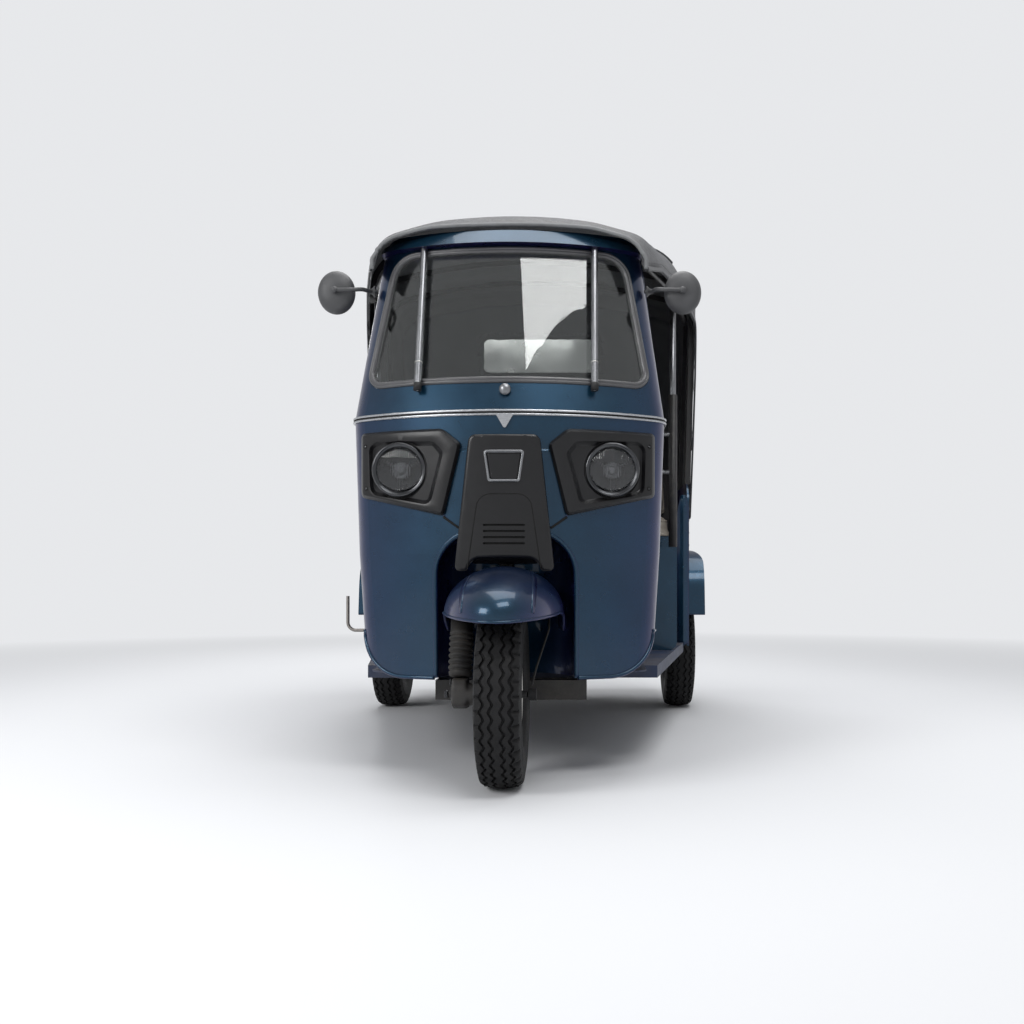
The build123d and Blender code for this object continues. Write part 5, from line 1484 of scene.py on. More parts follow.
class RICKSHAW_OT_wheels(bpy.types.Operator):
    """Adds nuts, valve stems, hub caps and balance dimples, near-black as painted shade, to the rims"""

    bl_idname = "rickshaw.wheels"
    bl_label = "Wheels"

    NUT = hex_head(0.0095, 0.013)
    DIMPLE = turned([(0, 0.0001), (0.0002, 0.0075), (0.0016, 0.0095), (0.0002, 0.0112)], segments=20)
    CAP = [(0.025, 0.0001), (0.0248, 0.008), (0.022, 0.015), (0.016, 0.019), (0.0, 0.021), (-0.004, 0.021)]
    RING = [(0.0, 0.118), (0.004, 0.119), (0.0055, 0.122), (0.004, 0.125), (0.0, 0.126)]
    STEM = [(0.0, 0.0045), (0.018, 0.004), (0.019, 0.0048), (0.028, 0.0046), (0.0285, 0.0001)]

    def execute(self, context):
        for wheel, (body, x, y, outboard) in HUBS.items():
            hub, out = Vector((x, y, TYRE_RADIUS)), X * outboard

            def ring_of(count, start, proud, radius):
                ways = [Vector((0, c, s)) for c, s in circle(count, start)]
                return [(hub + out * proud + way * radius, out, way) for way in ways]

            nuts, holes = ring_of(5, 0.3, 0.0122, 0.056), ring_of(10, 0, 0.0131, 0.088)
            small_parts(f"{wheel}_wheel_nuts", nuts, self.NUT, "zinc", "rim_paint", body)
            # Painted shade: a near-black shallow dish at each of ten places round the rim.
            small_parts(f"{wheel}_rim_vents", holes, self.DIMPLE, "void", "rim_paint", body, smooth=True)
            cap = turned(self.CAP, hub + out * 0.0155, out, 32)
            ring = turned(self.RING, hub + out * 0.0415, out, 64)
            stem = turned(self.STEM, hub + out * 0.019 + Vector((0, 0.03, 0.097)), out + Vector((0, 0.1, 0.1)), 14)
            add_nets(f"{wheel}_hub_cap", [cap, ring], "zinc", "rim_paint", body)
            add_nets(f"{wheel}_valve", [stem], "dark_rubber", "dark_rubber", body)
        return {"FINISHED"}


# ---------------------------------------------------------------- the cab's face
LAMP = (302.0, 879.0)
LAMP_FRONT = cab_point(LAMP[1], LAMP[0])[0].y - 0.028
# Outlines in front view: corners in (x, z), and their radii.
BEZEL = ([(428, 806), (172, 746), (122, 948), (176, 992), (428, 992)], [16, 12, 18, 30, 12])
RECESS = ([(401, 964), (200, 956), (172, 924), (211, 776), (396, 812)], [30, 24, 22, 24, 30])
SCREEN = ([(-423, 1122), (423, 1122), (350, 1545), (-350, 1545)], [48, 48, 88, 88])
BADGE = ([(-41, 842), (41, 842), (53, 924), (-53, 924)], [7] * 4)
SLEEVE_TOP = 1.2465
SHELL_BACK = 388
TRIM_HEIGHT = 1036
COWL_PROUD = 34


def flat(x, z):
    """A place in front view."""
    return Vector((x, z, 0))


def flat_loop(corners, radii, count=240, grow=0.0):
    """A rounded outline in front view as even points, let out by grow, in millimetres."""
    line = even_loop([flat(x, z) for x, z in rounded_outline(corners, radii, 8)], count)
    if grow:
        outs = [(line[(i + 1) % count] - line[i - 1]).normalized().cross(Z) for i in range(count)]
        turn = 1 if outs[0].dot(line[0] - sum(line, Vector()) / count) > 0 else -1
        line = [p + out * grow * turn for p, out in zip(line, outs)]
    return line


def on_face(line, proud):
    """Flat places (x, z) laid on the cab, with their outward normals."""
    spots = [cab_point(p[1], p[0], proud) for p in line]
    return [s[0] for s in spots], [s[1] for s in spots]


def face_strip(line, proud, section, closed=True):
    """A section carried along a flat line laid on the cab."""
    path, out = on_face(line, proud)
    return swept(path, section, closed=closed, up=out)


def face_panel(rows, proud, columns=14, drop=0.0016):
    """A thin panel on the cab from rows of (height, x0, x1) in millimetres, its edge turned in by drop."""
    grid = []
    for z, x0, x1 in (rows[0], *rows, rows[-1]):
        spots = [cab_point(z, x0 + (x1 - x0) * i / columns, proud) for i in range(columns + 1)]
        spots = [spots[0], *spots, spots[-1]]
        edge = len(grid) in (0, len(rows) + 1)
        grid.append([p - n * (drop if edge or i in (0, columns + 2) else 0) for i, (p, n) in enumerate(spots)])
    return net(grid)


def belt(height, proud, section, count=140):
    """A section carried round the cab at a height, from one back edge of the shell to the other."""
    half, _, _, _, middle = cab_plan(height, proud)
    reach = 382
    side = [Vector((half / 1000, back(reach - (reach - middle[1]) * i / 8), height / 1000)) for i in range(8)]
    nose = [cab_point(height, (half + proud) * math.cos(math.pi * i / 120), proud)[0] for i in range(121)]
    path = even_path([*side, *nose, *[Vector((-p.x, p.y, p.z)) for p in reversed(side)]], count)
    outs = []
    for i, p in enumerate(path):
        out = (path[min(i + 1, count - 1)] - path[max(i - 1, 0)]).cross(Z).normalized()
        outs.append(out if out.dot(p - Vector((0, -0.6, p.z))) > 0 else -out)
    return swept(path, section, up=outs)


class RICKSHAW_OT_lamps(bpy.types.Operator):
    """Sets the lamps in sunk bezels: ribbed lens, bulb shield, domed ring and screws"""

    bl_idname = "rickshaw.lamps"
    bl_label = "Headlamps"

    RAYS = 200
    LEVELS = [  # outline, let out by, proud: from the bezel's foot over its rim and down into the recess
        (BEZEL, 0, 0.3), (BEZEL, 0, 8), (BEZEL, -0.8, 9.6), (BEZEL, -8.2, 18.4), (BEZEL, -10, 19), (RECESS, 2, 19),
        (RECESS, 0, 18.4), (RECESS, -1.4, 16.8), (RECESS, -10, 6.2), (RECESS, -12, 5),
    ]
    FLOOR_LEVELS = [(81.0, 5), (78.6, 1.0), (66.0, 0.8)]  # radius, proud
    RING = [
        (-0.002, 0.0774), (0.002, 0.0772), (0.0055, 0.0755), (0.007, 0.0725), (0.006, 0.0700), (0.003, 0.0690),
        (0.0035, 0.0672), (0.002, 0.0655), (-0.001, 0.0645), (-0.002, 0.0645),
    ]
    SHIELD = [
        (0.0, 0.0001), (0.001, 0.007), (0.0, 0.0105), (-0.006, 0.012), (-0.012, 0.0125), (-0.012, 0.0185),
        (-0.009, 0.0205), (-0.014, 0.024),
    ]
    BULB = [(0.0, 0.0001), (0.002, 0.004), (0.008, 0.006), (0.03, 0.006), (0.034, 0.009), (0.045, 0.009)]
    LENS_RADIUS = 0.0634
    CUP = [(0.0, 0.0042), (0.0006, 0.005), (0.0002, 0.0068)]

    @staticmethod
    def reach(loop, way):
        """How far a ray from the lamp's middle goes to a loop."""
        best = 0.0
        for a, b in zip(loop, loop[1:] + loop[:1]):
            a, b = a - flat(*LAMP), b - flat(*LAMP)
            turn = way.cross(b - a).z
            if abs(turn) > 1e-9 and 0 <= way.cross(a).z / -turn <= 1:
                best = max(best, a.cross(b - a).z / turn)
        return best

    def bezel(self, side):
        """The bezel as rings of rays from the lamp's middle."""
        ways = [flat(c, s) for c, s in circle(self.RAYS)]
        rows = []
        for shape, grow, proud in self.LEVELS:
            loop = flat_loop(*shape, 160, grow)
            rows.append(([max(self.reach(loop, way), 82.0) for way in ways], proud))
        rows += [([radius] * self.RAYS, proud) for radius, proud in self.FLOOR_LEVELS]
        grid = []
        for reach, proud in rows:
            line = [flat(*LAMP) + way * r for way, r in zip(ways, reach)]
            grid.append([Vector((side * p.x, p.y, p.z)) for p in on_face(line, proud)[0]])
        return net(grid, round_rows=True)

    def lens(self, front):
        """A bulged lens with upright flutes."""
        strips = []
        for k in range(129):
            across = 0.0632 * math.sin(math.pi * (k / 128 - 0.5))
            tall = math.sqrt(max(self.LENS_RADIUS**2 - across**2, 1e-8))
            dip = 0.0013 * abs(math.sin(across * math.pi / 0.0064))
            row = []
            for i in range(13):
                up = tall * (2 * i / 12 - 1)
                bulge = 0.004 * (1 - (across**2 + up**2) / self.LENS_RADIUS**2)
                row.append(front + Vector((across, 0.0020 - bulge - dip, up)))
            strips.append(row + [Vector((p.x, front.y + 0.0045, p.z)) for p in reversed(row)])
        return net(strips, round_rows=True, caps=True)

    @staticmethod
    def sleeve_pillars():
        """Gives the pillars black lower sleeves and leaves the rails between them bright."""

        def cut(work):
            whole = [*work.verts, *work.edges, *work.faces]
            bmesh.ops.bisect_plane(work, geom=whole, plane_co=(0, 0, SLEEVE_TOP), plane_no=(0, 0, 1))

        sleeved = reshaped("pillars", "pillars_sleeved", "stay_metal", cut)
        sleeved.data.materials.append(FINISHES["black_paint"])
        wide = max(abs(v.co.x) for v in sleeved.data.vertices) - 0.045
        for face in sleeved.data.polygons:
            face.material_index = int(face.center.z < SLEEVE_TOP and abs(face.center.x) > wide)
        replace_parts(sleeved, "pillars")

    def execute(self, context):
        bezels = add_nets("headlamp_bezels_sunk", [self.bezel(1), self.bezel(-1)], "cowl_plastic", "cowl_plastic")
        bezels.data.set_sharp_from_angle(angle=math.radians(24))
        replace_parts(bezels, "headlamp_bezels")
        # The lamp bowls take the reflector finish, whose near-black colour is painted shade.
        for node, finish_name in (("headlamp_units", "reflector"), ("floor_pan", "floor_paint")):
            NODES[node].material_slots[0].material = FINISHES[finish_name]
        self.sleeve_pillars()
        rings, lenses, shields, bulbs, screws = [], [], [], [], []
        for side in (1, -1):
            front = Vector((side * LAMP[0] / 1000, LAMP_FRONT, LAMP[1] / 1000))
            rings.append(turned(self.RING, front, -Y, 72, closed=True))
            lenses.append(self.lens(front))
            shields.append(turned(self.SHIELD, front + Y * 0.018, -Y, 32))
            for c, s in circle(3, 0.5):
                spot, way = front + Y * 0.034, Vector((c, 0, s))
                shields.append(swept([spot + way * 0.014, spot + way * 0.063 + Y * 0.006], ring_section(0.0015, 6)))
            bulbs.append(turned(self.BULB, front + Y * 0.019, Y, 20))
            screws += [cab_point(z, side * x, 19.0) for x, z in ((411, 951), (409, 830))]
        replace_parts(add_nets("headlamp_lens_ribs", lenses, "lamp_glass", "lamp_glass"), "headlamp_lenses")
        # The rings' chrome is near-black as painted shade.
        add_nets("headlamp_rings", rings, "dark_chrome", "chrome")
        add_nets("headlamp_bulb_shields", shields, "stay_metal", "chrome")
        add_nets("headlamp_bulbs", bulbs, "pearl", "lamp_glass")
        small_parts("headlamp_bezel_screws", screws, pan_head(0.0036, 0.0022), "dark_chrome", "cowl_plastic")
        # Painted shade: a near-black ring round each bezel screw.
        cup = turned(self.CUP, segments=16)
        small_parts("headlamp_bezel_cups", screws, cup, "void", "cowl_plastic", smooth=True)
        return {"FINISHED"}


class RICKSHAW_OT_face(bpy.types.Operator):
    """Finishes the cab's face: gasket, trim ridges, painted shade in the trim channel, the cowl seam and behind the
    louvres, badge plate, lips and beads
    """

    bl_idname = "rickshaw.face"
    bl_label = "Cab face"

    HALF_GASKET = [
        (0.0097, -0.013), (0.0097, 0.001), (0.0086, 0.004), (0.0055, 0.0066), (0.0018, 0.0076), (0.0012, 0.0062)
    ]
    LOCK_CAP = [(-0.003, 0.0168), (0.0, 0.0165), (0.002, 0.0145), (0.0055, 0.011), (0.0075, 0.006), (0.008, 0.0001)]
    WELL_BEAD = [
        (0.011, -0.003), (0.009, 0.001), (0.004, 0.0036), (0.0, 0.0042), (-0.002, 0.003), (-0.0032, 0.0),
        (-0.0032, -0.004),
    ]

    def execute(self, context):
        self.screen_and_trim()
        self.cowl()
        self.badge()
        self.edges()
        return {"FINISHED"}

    def screen_and_trim(self):
        """The windscreen's gasket, the trim's two ridges with a dark strip of painted shade in the channel between
        them, and the lock's cap.
        """
        tube = [*self.HALF_GASKET, *((-a, b) for a, b in reversed(self.HALF_GASKET))]
        gasket = face_strip(flat_loop(*SCREEN, 360, -10.2), 0, tube)
        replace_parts(add_nets("windscreen_gasket", [gasket], "seal_rubber", "seal_rubber"), "windscreen_seal")
        ridges = [belt(TRIM_HEIGHT + shift, 5.0, half_round(0.0052, 0.002, 0.001)) for shift in (-5.4, 5.4)]
        add_nets("belt_trim_ridges", ridges, "bright_trim", "bright_trim")
        # Painted shade: a near-black strip lies in the channel between the ridges.
        channel = belt(TRIM_HEIGHT, 5.1, half_round(0.0052, 0.0003, 0.001))
        add_nets("belt_trim_channel", [channel], "void", "bright_trim")
        dome = turned(self.LOCK_CAP, cab_point(1102, 0, 12)[0], -Y, 36)
        add_nets("lock_cap_dome", [dome], "stay_metal", "bright_trim")

    def cowl(self):
        """The cowl's seams as thin dark strips of painted shade, a dark sheet of painted shade behind its louvres, its
        bevelled rim and lower apron, and the panels beside it.
        """
        arch = rounded_outline([(-102, 600), (-72, 806), (72, 806), (102, 600)], [0, 40, 40, 0], 10)
        # Painted shade: the seams are near-black strips laid just proud of the face.
        groove = [(0.0016, -0.001), (0.0016, 0.0003), (-0.0016, 0.0003), (-0.0016, -0.001)]
        seam = even_path([flat(x, z) for x, z in arch], 120)
        parts = [face_strip(seam, COWL_PROUD, groove, closed=False)]
        for side in (1, -1):
            line = even_path([flat(side * 174, 744), flat(side * 128, 712)], 12)
            parts.append(face_strip(line, 0, [(a * 2, b + 0.0021) for a, b in groove], closed=False))
        # Painted shade: a near-black sheet behind the louvres' slots.
        parts.append(face_panel([(658 + 10 * i, -66, 66) for i in range(8)], 29))
        add_nets("cowl_seams_and_louvre_back", parts, "void", "cowl_plastic")
        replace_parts(reshaped("nose_cowl", "nose_cowl_bevelled", "cowl_plastic", self.bevel), "nose_cowl")
        apron = []
        for i in range(12):
            share = i / 11
            z, proud = 664 - 52 * share, 31 - 40 * share**2
            apron.append([cab_point(z, -91 + 182 * k / 16, proud)[0] for k in range(17)])
        apron += [[p + Y * 0.003 for p in row] for row in reversed(apron)]
        add_nets("nose_cowl_apron", [net(apron + apron[:1])], "cowl_plastic", "cowl_plastic")
        plates = []
        for side in (1, -1):
            rows = []
            for i in range(24):
                z = 712 + 223 * i / 23
                edge = 176 - (z - 746) * 50 / 202 + 4 if z > 744 else 128 + (z - 712) * 46 / 32
                rows.append((z, side * 84, side * edge))
            plates.append(face_panel(rows, 1.6, 8))
        add_nets("nose_side_panels", plates, "blue_paint", "blue_paint")

    @staticmethod
    def badge():
        """The bare badge plate and its bright bead."""
        widths = [38 + 11.6 * i / 12 for i in range(13)]
        plate = face_panel([(846 + 74 * i / 12, -half, half) for i, half in enumerate(widths)], 36.3, drop=0.0006)
        add_nets("badge_plate", [plate], "cowl_plastic", "chrome")
        bead = face_strip(flat_loop(*BADGE, 120), 38.6, half_round(0.0064, 0.0024, 0.001))
        add_nets("badge_bead", [bead], "stay_metal", "chrome")

    @staticmethod
    def bevel(work):
        """Bevels the cowl's front rim, away from its louvres."""
        rim = []
        for edge in work.edges:
            spots = [v.co for v in edge.verts]
            front = all(abs(p.y - cab_point(p.z * 1000, p.x * 1000, COWL_PROUD)[0].y) < 0.0012 for p in spots)
            louvre = all(abs(p.x) < 0.062 and 0.66 < p.z < 0.728 for p in spots)
            if front and not louvre and len(edge.link_faces) == 2 and edge.calc_face_angle() > 0.9:
                rim.append(edge)
        bmesh.ops.bevel(work, geom=rim, offset=0.0085, segments=3, profile=0.55, affect="EDGES", clamp_overlap=False)

    def edges(self):
        """The rolled lip round the shell and the soft bead round the wheel well's mouth."""
        lips = []
        corner, radius = 416, 128
        for side in (1, -1):

            def at(half, place, height):
                return Vector((side * half / 1000, back(place), height / 1000))

            half, _, _, _, middle = cab_plan(corner, 0)
            path = [at(cab_level(z)[0], SHELL_BACK + (z - 1070) * 44 / 560, z) for z in range(1600, 1071, -24)]
            path += [at(cab_level(z)[0], SHELL_BACK, z) for z in range(1066, corner, -26)]
            path += [at(half, SHELL_BACK - (SHELL_BACK - middle[1]) * i / 6, 414) for i in range(6)]
            for i in range(31):
                turn = math.radians(3 * i)
                x = 424.8 - radius + radius * math.cos(turn)
                path.append(cab_point(corner - radius * math.sin(turn), side * min(x, cab_level(corner)[0] - 1), 0)[0])
            path += [cab_point(288, side * (296 - (296 - 204) * i / 8), 0)[0] for i in range(1, 9)]
            lips.append(swept(even_path(path, 260), ring_section(0.0058, 10), up=(0, 0, 1)))
        add_nets("shell_edge_roll", lips, "blue_paint", "blue_paint")
        mouth = rounded_outline([(-203, 292), (-203, 708), (203, 708), (203, 292)], [0, 128, 128, 0], 14)
        line = even_path([flat(x, z) for x, z in mouth], 150)
        add_nets("wheel_well_bead", [face_strip(line, 0, self.WELL_BEAD, closed=False)], "blue_paint", "blue_paint")


class RICKSHAW_OT_mirrors(bpy.types.Operator):
    """Moulds the domed mirror backs, their arms and glasses, and caps and clamps the stays"""

    bl_idname = "rickshaw.mirrors"
    bl_label = "Mirrors and stays"

    DOME = [  # depth, share of the outline
        (0.0185, 0.002), (0.0185, 0.93), (0.0215, 0.93), (0.022, 0.965), (0.020, 0.99), (0.015, 1.0), (0.008, 0.985),
        (0.0, 0.94), (-0.008, 0.84), (-0.0135, 0.70), (-0.0175, 0.5), (-0.0195, 0.27), (-0.020, 0.002),
    ]
    FACE = turned([(0.0, 0.0001), (0.0, 0.052), (-0.001, 0.053)], axis=(0, 1, 0))
    FOOT = [(0.0, 0.017), (0.004, 0.0165), (0.006, 0.013), (0.012, 0.0085), (0.02, 0.0075)]
    BALL = [(-0.011, 0.001), (-0.008, 0.0075), (0.0, 0.0108), (0.008, 0.0075), (0.011, 0.001)]
    STAY_CAP = [(-0.003, 0.0001), (-0.002, 0.0112), (0.018, 0.0116), (0.019, 0.0098)]
    CLAMP = [(-0.0015, 0.0098), (-0.001, 0.0112), (0.001, 0.0112), (0.0015, 0.0098)]
    STAY_X = 252

    def execute(self, context):
        shells, glasses, caps, clamps = [], [], [], []
        for side in (1, -1):
            out = X * side
            centre = Vector((side * 0.515, back(250), 1.420))
            dome = [[centre + Vector((0.0555 * r * c, y, 0.0645 * r * s)) for c, s in circle(48)] for y, r in self.DOME]
            shells.append(net(dome, round_rows=True))
            points, faces = self.FACE
            glasses.append(([centre + Vector((p.x, p.y + 0.0192, p.z * 1.125)) for p in points], faces))
            half = cab_level(1420)[0] / 1000
            arm = [
                (half - 0.008, 318, 1.437), (half + 0.014, 304, 1.435), (0.436, 246, 1.426), (0.462, 224, 1.4195),
                (0.512, 221, 1.4185),
            ]
            path = smooth_path([(side * x, back(u), z) for x, u, z in arm], 30)
            shells.append(swept(path, ring_section(0.0062, 12), up=(0, 0, 1)))
            shells.append(turned(self.FOOT, (side * (half - 0.0025), back(318), 1.437), out, 24))
            shells.append(turned(self.BALL, (side * 0.512, back(221.5), 1.4185), out, 20))
            foot, head = (
                Vector((side * self.STAY_X / 1000, cab_point(z, self.STAY_X)[0].y - 0.019, z / 1000))
                for z in (1108, 1563)
            )
            way = (head - foot).normalized()
            caps.append(turned(self.STAY_CAP, foot, way, 24))
            clamps.append(turned(self.CLAMP, foot + way * 0.085, way, 24, closed=True))
        backs = add_nets("mirror_backs_and_arms", shells, "mirror_plastic", "mirror_plastic")
        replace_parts(backs, "door_mirrors")
        add_nets("mirror_faces", glasses, "mirror_glass", "mirror_plastic")
        add_nets("stay_end_caps", caps, "dark_rubber", "dark_rubber")
        add_nets("stay_clamps", clamps, "zinc", "stay_metal")
        return {"FINISHED"}


# ---------------------------------------------------------------- running gear
def dome_point(x, y):
    """A place on the front fender's dome over (x, y) in millimetres, y behind the axle, with its normal."""
    a, b, c = 165, 338, 130
    rise = math.sqrt(1 - min((x / a) ** 2 + ((y - 60) / b) ** 2, 1))
    place = Vector((x / 1000, back(y), (475 + c * rise) / 1000))
    return place, Vector((x / a**2, (y - 60) / b**2, rise / c)).normalized()


class RICKSHAW_OT_fork(bpy.types.Operator):
    """Softens the fork's castings, ribs the damper's boot and presses the front fender's creases and edge"""

    bl_idname = "rickshaw.fork"
    bl_label = "Fork and fender"

    CASTINGS = (("front_link", 0.0032, 9, "cast_metal"), ("front_fork", 0.0036, 4, "black_paint"))
    FENDER_LIP = ((-278, 463), (-240, 467), (-45, 479), (30, 470), (62, 448), (100, 426), (204, 426))
    CREASE = [(0.016, -0.0012), (0.005, 0.0012), (0.0008, 0.0026), (-0.0016, 0.002), (-0.004, -0.0012)]
    BOOT_FOOT = [(0.004, 0.0001), (0.004, 0.024), (0.008, 0.031), (0.018, 0.0325), (0.0205, 0.028)]
    BOOT_RIBS, BOOT_PITCH = 6, 0.0165
    BOOT_HEAD = [(0.1205, 0.0265), (0.123, 0.0325), (0.129, 0.0325), (0.130, 0.031), (0.199, 0.031), (0.2, 0.0001)]
    GRIP_END = [(-0.006, 0.0001), (-0.0055, 0.019), (0.002, 0.0205), (0.005, 0.0175)]
    GRIP_COLLAR = [(0.102, 0.0175), (0.104, 0.024), (0.108, 0.024), (0.110, 0.0165)]
    BOLTS = ((-0.152, 0, 0.2535), (-0.1405, 58, 0.262), (-0.1405, 30, 0.284))
    LEVER = ((0, -0.006, 0.002), (0.012, -0.026, -0.003), (0.052, -0.031, -0.009), (0.088, -0.020, -0.014))

    def execute(self, context):
        for node, voxel, rounds, slot in self.CASTINGS:
            cast = reshaped(node, f"{node}_casting", "cast_metal", lambda work: None, "steering", slot)
            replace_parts(evened(cast, voxel, rounds), node)
        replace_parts(add_nets("damper_boot", [self.boot()], "dark_rubber", "dark_rubber", "steering"), "front_damper")
        add_nets("front_fender_creases", [self.crease(1), self.crease(-1)], "blue_paint", "blue_paint", "steering")
        add_nets("front_fender_edge", [self.fender_edge()], "blue_paint", "blue_paint", "steering")
        grips = [*self.grip_and_lever(1), *self.grip_and_lever(-1)]
        add_nets("handlebar_grips_and_levers", grips, "dark_rubber", "dark_rubber", "steering")
        bolts = [(Vector((x, back(y), z)), -X) for x, y, z in self.BOLTS]
        small_parts("fork_bolts", bolts, hex_head(0.011, 0.009), "dark_chrome", "cast_metal", "steering")
        return {"FINISHED"}

    def boot(self):
        """The damper under its ribbed boot, from its eye to its head."""
        foot, head = Vector((-0.118, back(2), 0.2973)), Vector((-0.118, back(63), 0.493))
        ribs = []
        for i in range(self.BOOT_RIBS):
            for k in range(6):
                swell = 0.0085 * math.sin(math.pi * k / 6) ** 0.65
                ribs.append((0.0215 + self.BOOT_PITCH * (i + k / 6), 0.0255 + swell))
        return turned([*self.BOOT_FOOT, *ribs, *self.BOOT_HEAD], foot, head - foot, 40)

    def crease(self, side):
        """A pressed crease along one side of the fender's crown, fading out at its tail."""
        spots = [dome_point(side * (90 - 16 * (i / 39) ** 2), -222 + 258 * i / 39) for i in range(40)]
        ridge = [(side * a, b) for a, b in self.CREASE][::side]
        size = [min(1, (39 - i) / 14) for i in range(40)]
        return swept([s[0] for s in spots], ridge, up=[s[1] for s in spots], size=size)

    def fender_edge(self):
        """The rolled edge along the fender's lip, open behind the wheel."""
        rim = []
        for i in range(181):
            turn = math.radians(-25.5 + 231 * i / 180)
            x, y = 165 * math.cos(turn), 60 - 338 * math.sin(turn)
            if y <= self.FENDER_LIP[-1][0]:
                rim.append(Vector((x / 1000, back(y), line_height(self.FENDER_LIP, y) / 1000)))
        return swept(even_path(rim, 200), ring_section(0.0042, 8), up=(0, 0, 1))

    def grip_and_lever(self, side):
        start = Vector((side * 0.290, back(383.6), 1.092))
        way = Vector((side * 0.110, back(283.6), 1.122)) - start
        profile = list(self.GRIP_END)
        for i in range(14):
            profile += [(along + 0.0066 * i, r) for along, r in ((0.008, 0.0168), (0.0105, 0.0185), (0.0125, 0.0168))]
        spot = start + way.normalized() * 0.122
        lever = smooth_path([spot + Vector((side * a, b, c)) for a, b, c in self.LEVER], 24)
        grip = turned([*profile, *self.GRIP_COLLAR], start, way, 24)
        return grip, swept(lever, ring_section(0.0052, 8, 0.6), up=(0, 0, 1))


TAIL = back(2560)


class RICKSHAW_OT_fasteners(bpy.types.Operator):
    """Rivets and screws on the panels, by rule, each facing out of its panel"""

    bl_idname = "rickshaw.fasteners"
    bl_label = "Rivets and screws"

    def execute(self, context):
        def row(x, place, low, high, count, out):
            return [(spot, out) for spot in even_line((x, back(place), low), (x, back(place), high), count)]

        rivets = row(-0.574, 1116, 0.31, 0.66, 8, Vector((-0.9885, -0.151, 0)).normalized())
        screws = [(Vector((x, TAIL + 0.0025, 0.833)), Y) for x in (-0.09, 0.09)]
        for side in (1, -1):
            rivets += row(side * 0.648, 1562, 0.60, 0.90, 7, X * side)
            sill = even_line((side * 0.6483, back(2300), 0.36), (side * 0.6483, back(2420), 0.36), 4)
            rivets += [(spot, X * side) for spot in sill]
            rivets += row(side * 0.630, 1544, 0.345, 0.86, 6, -Y)
            screws += [(Vector((x, TAIL + 0.026, z)), Y) for x in (side * 0.422, side * 0.518) for z in (0.776, 0.844)]
            screws += row(side * 0.455, 1090, 0.345, 0.615, 3, -Y)
        small_parts("tub_rivets", rivets, rivet_head(0.0058, 0.0026), "blue_paint", "blue_paint", smooth=True)
        head = pan_head(0.0046, 0.003)
        small_parts("panel_screws", screws, head, "zinc", "galvanised", spin=6.28, seed=3)
        lid = [(spot, Y) for spot in even_line((-0.28, TAIL + 0.004, 0.415), (0.28, TAIL + 0.004, 0.415), 5)]
        small_parts("lid_screws", lid, head, "zinc", "galvanised", "engine_lid", spin=6.28, seed=5)
        return {"FINISHED"}


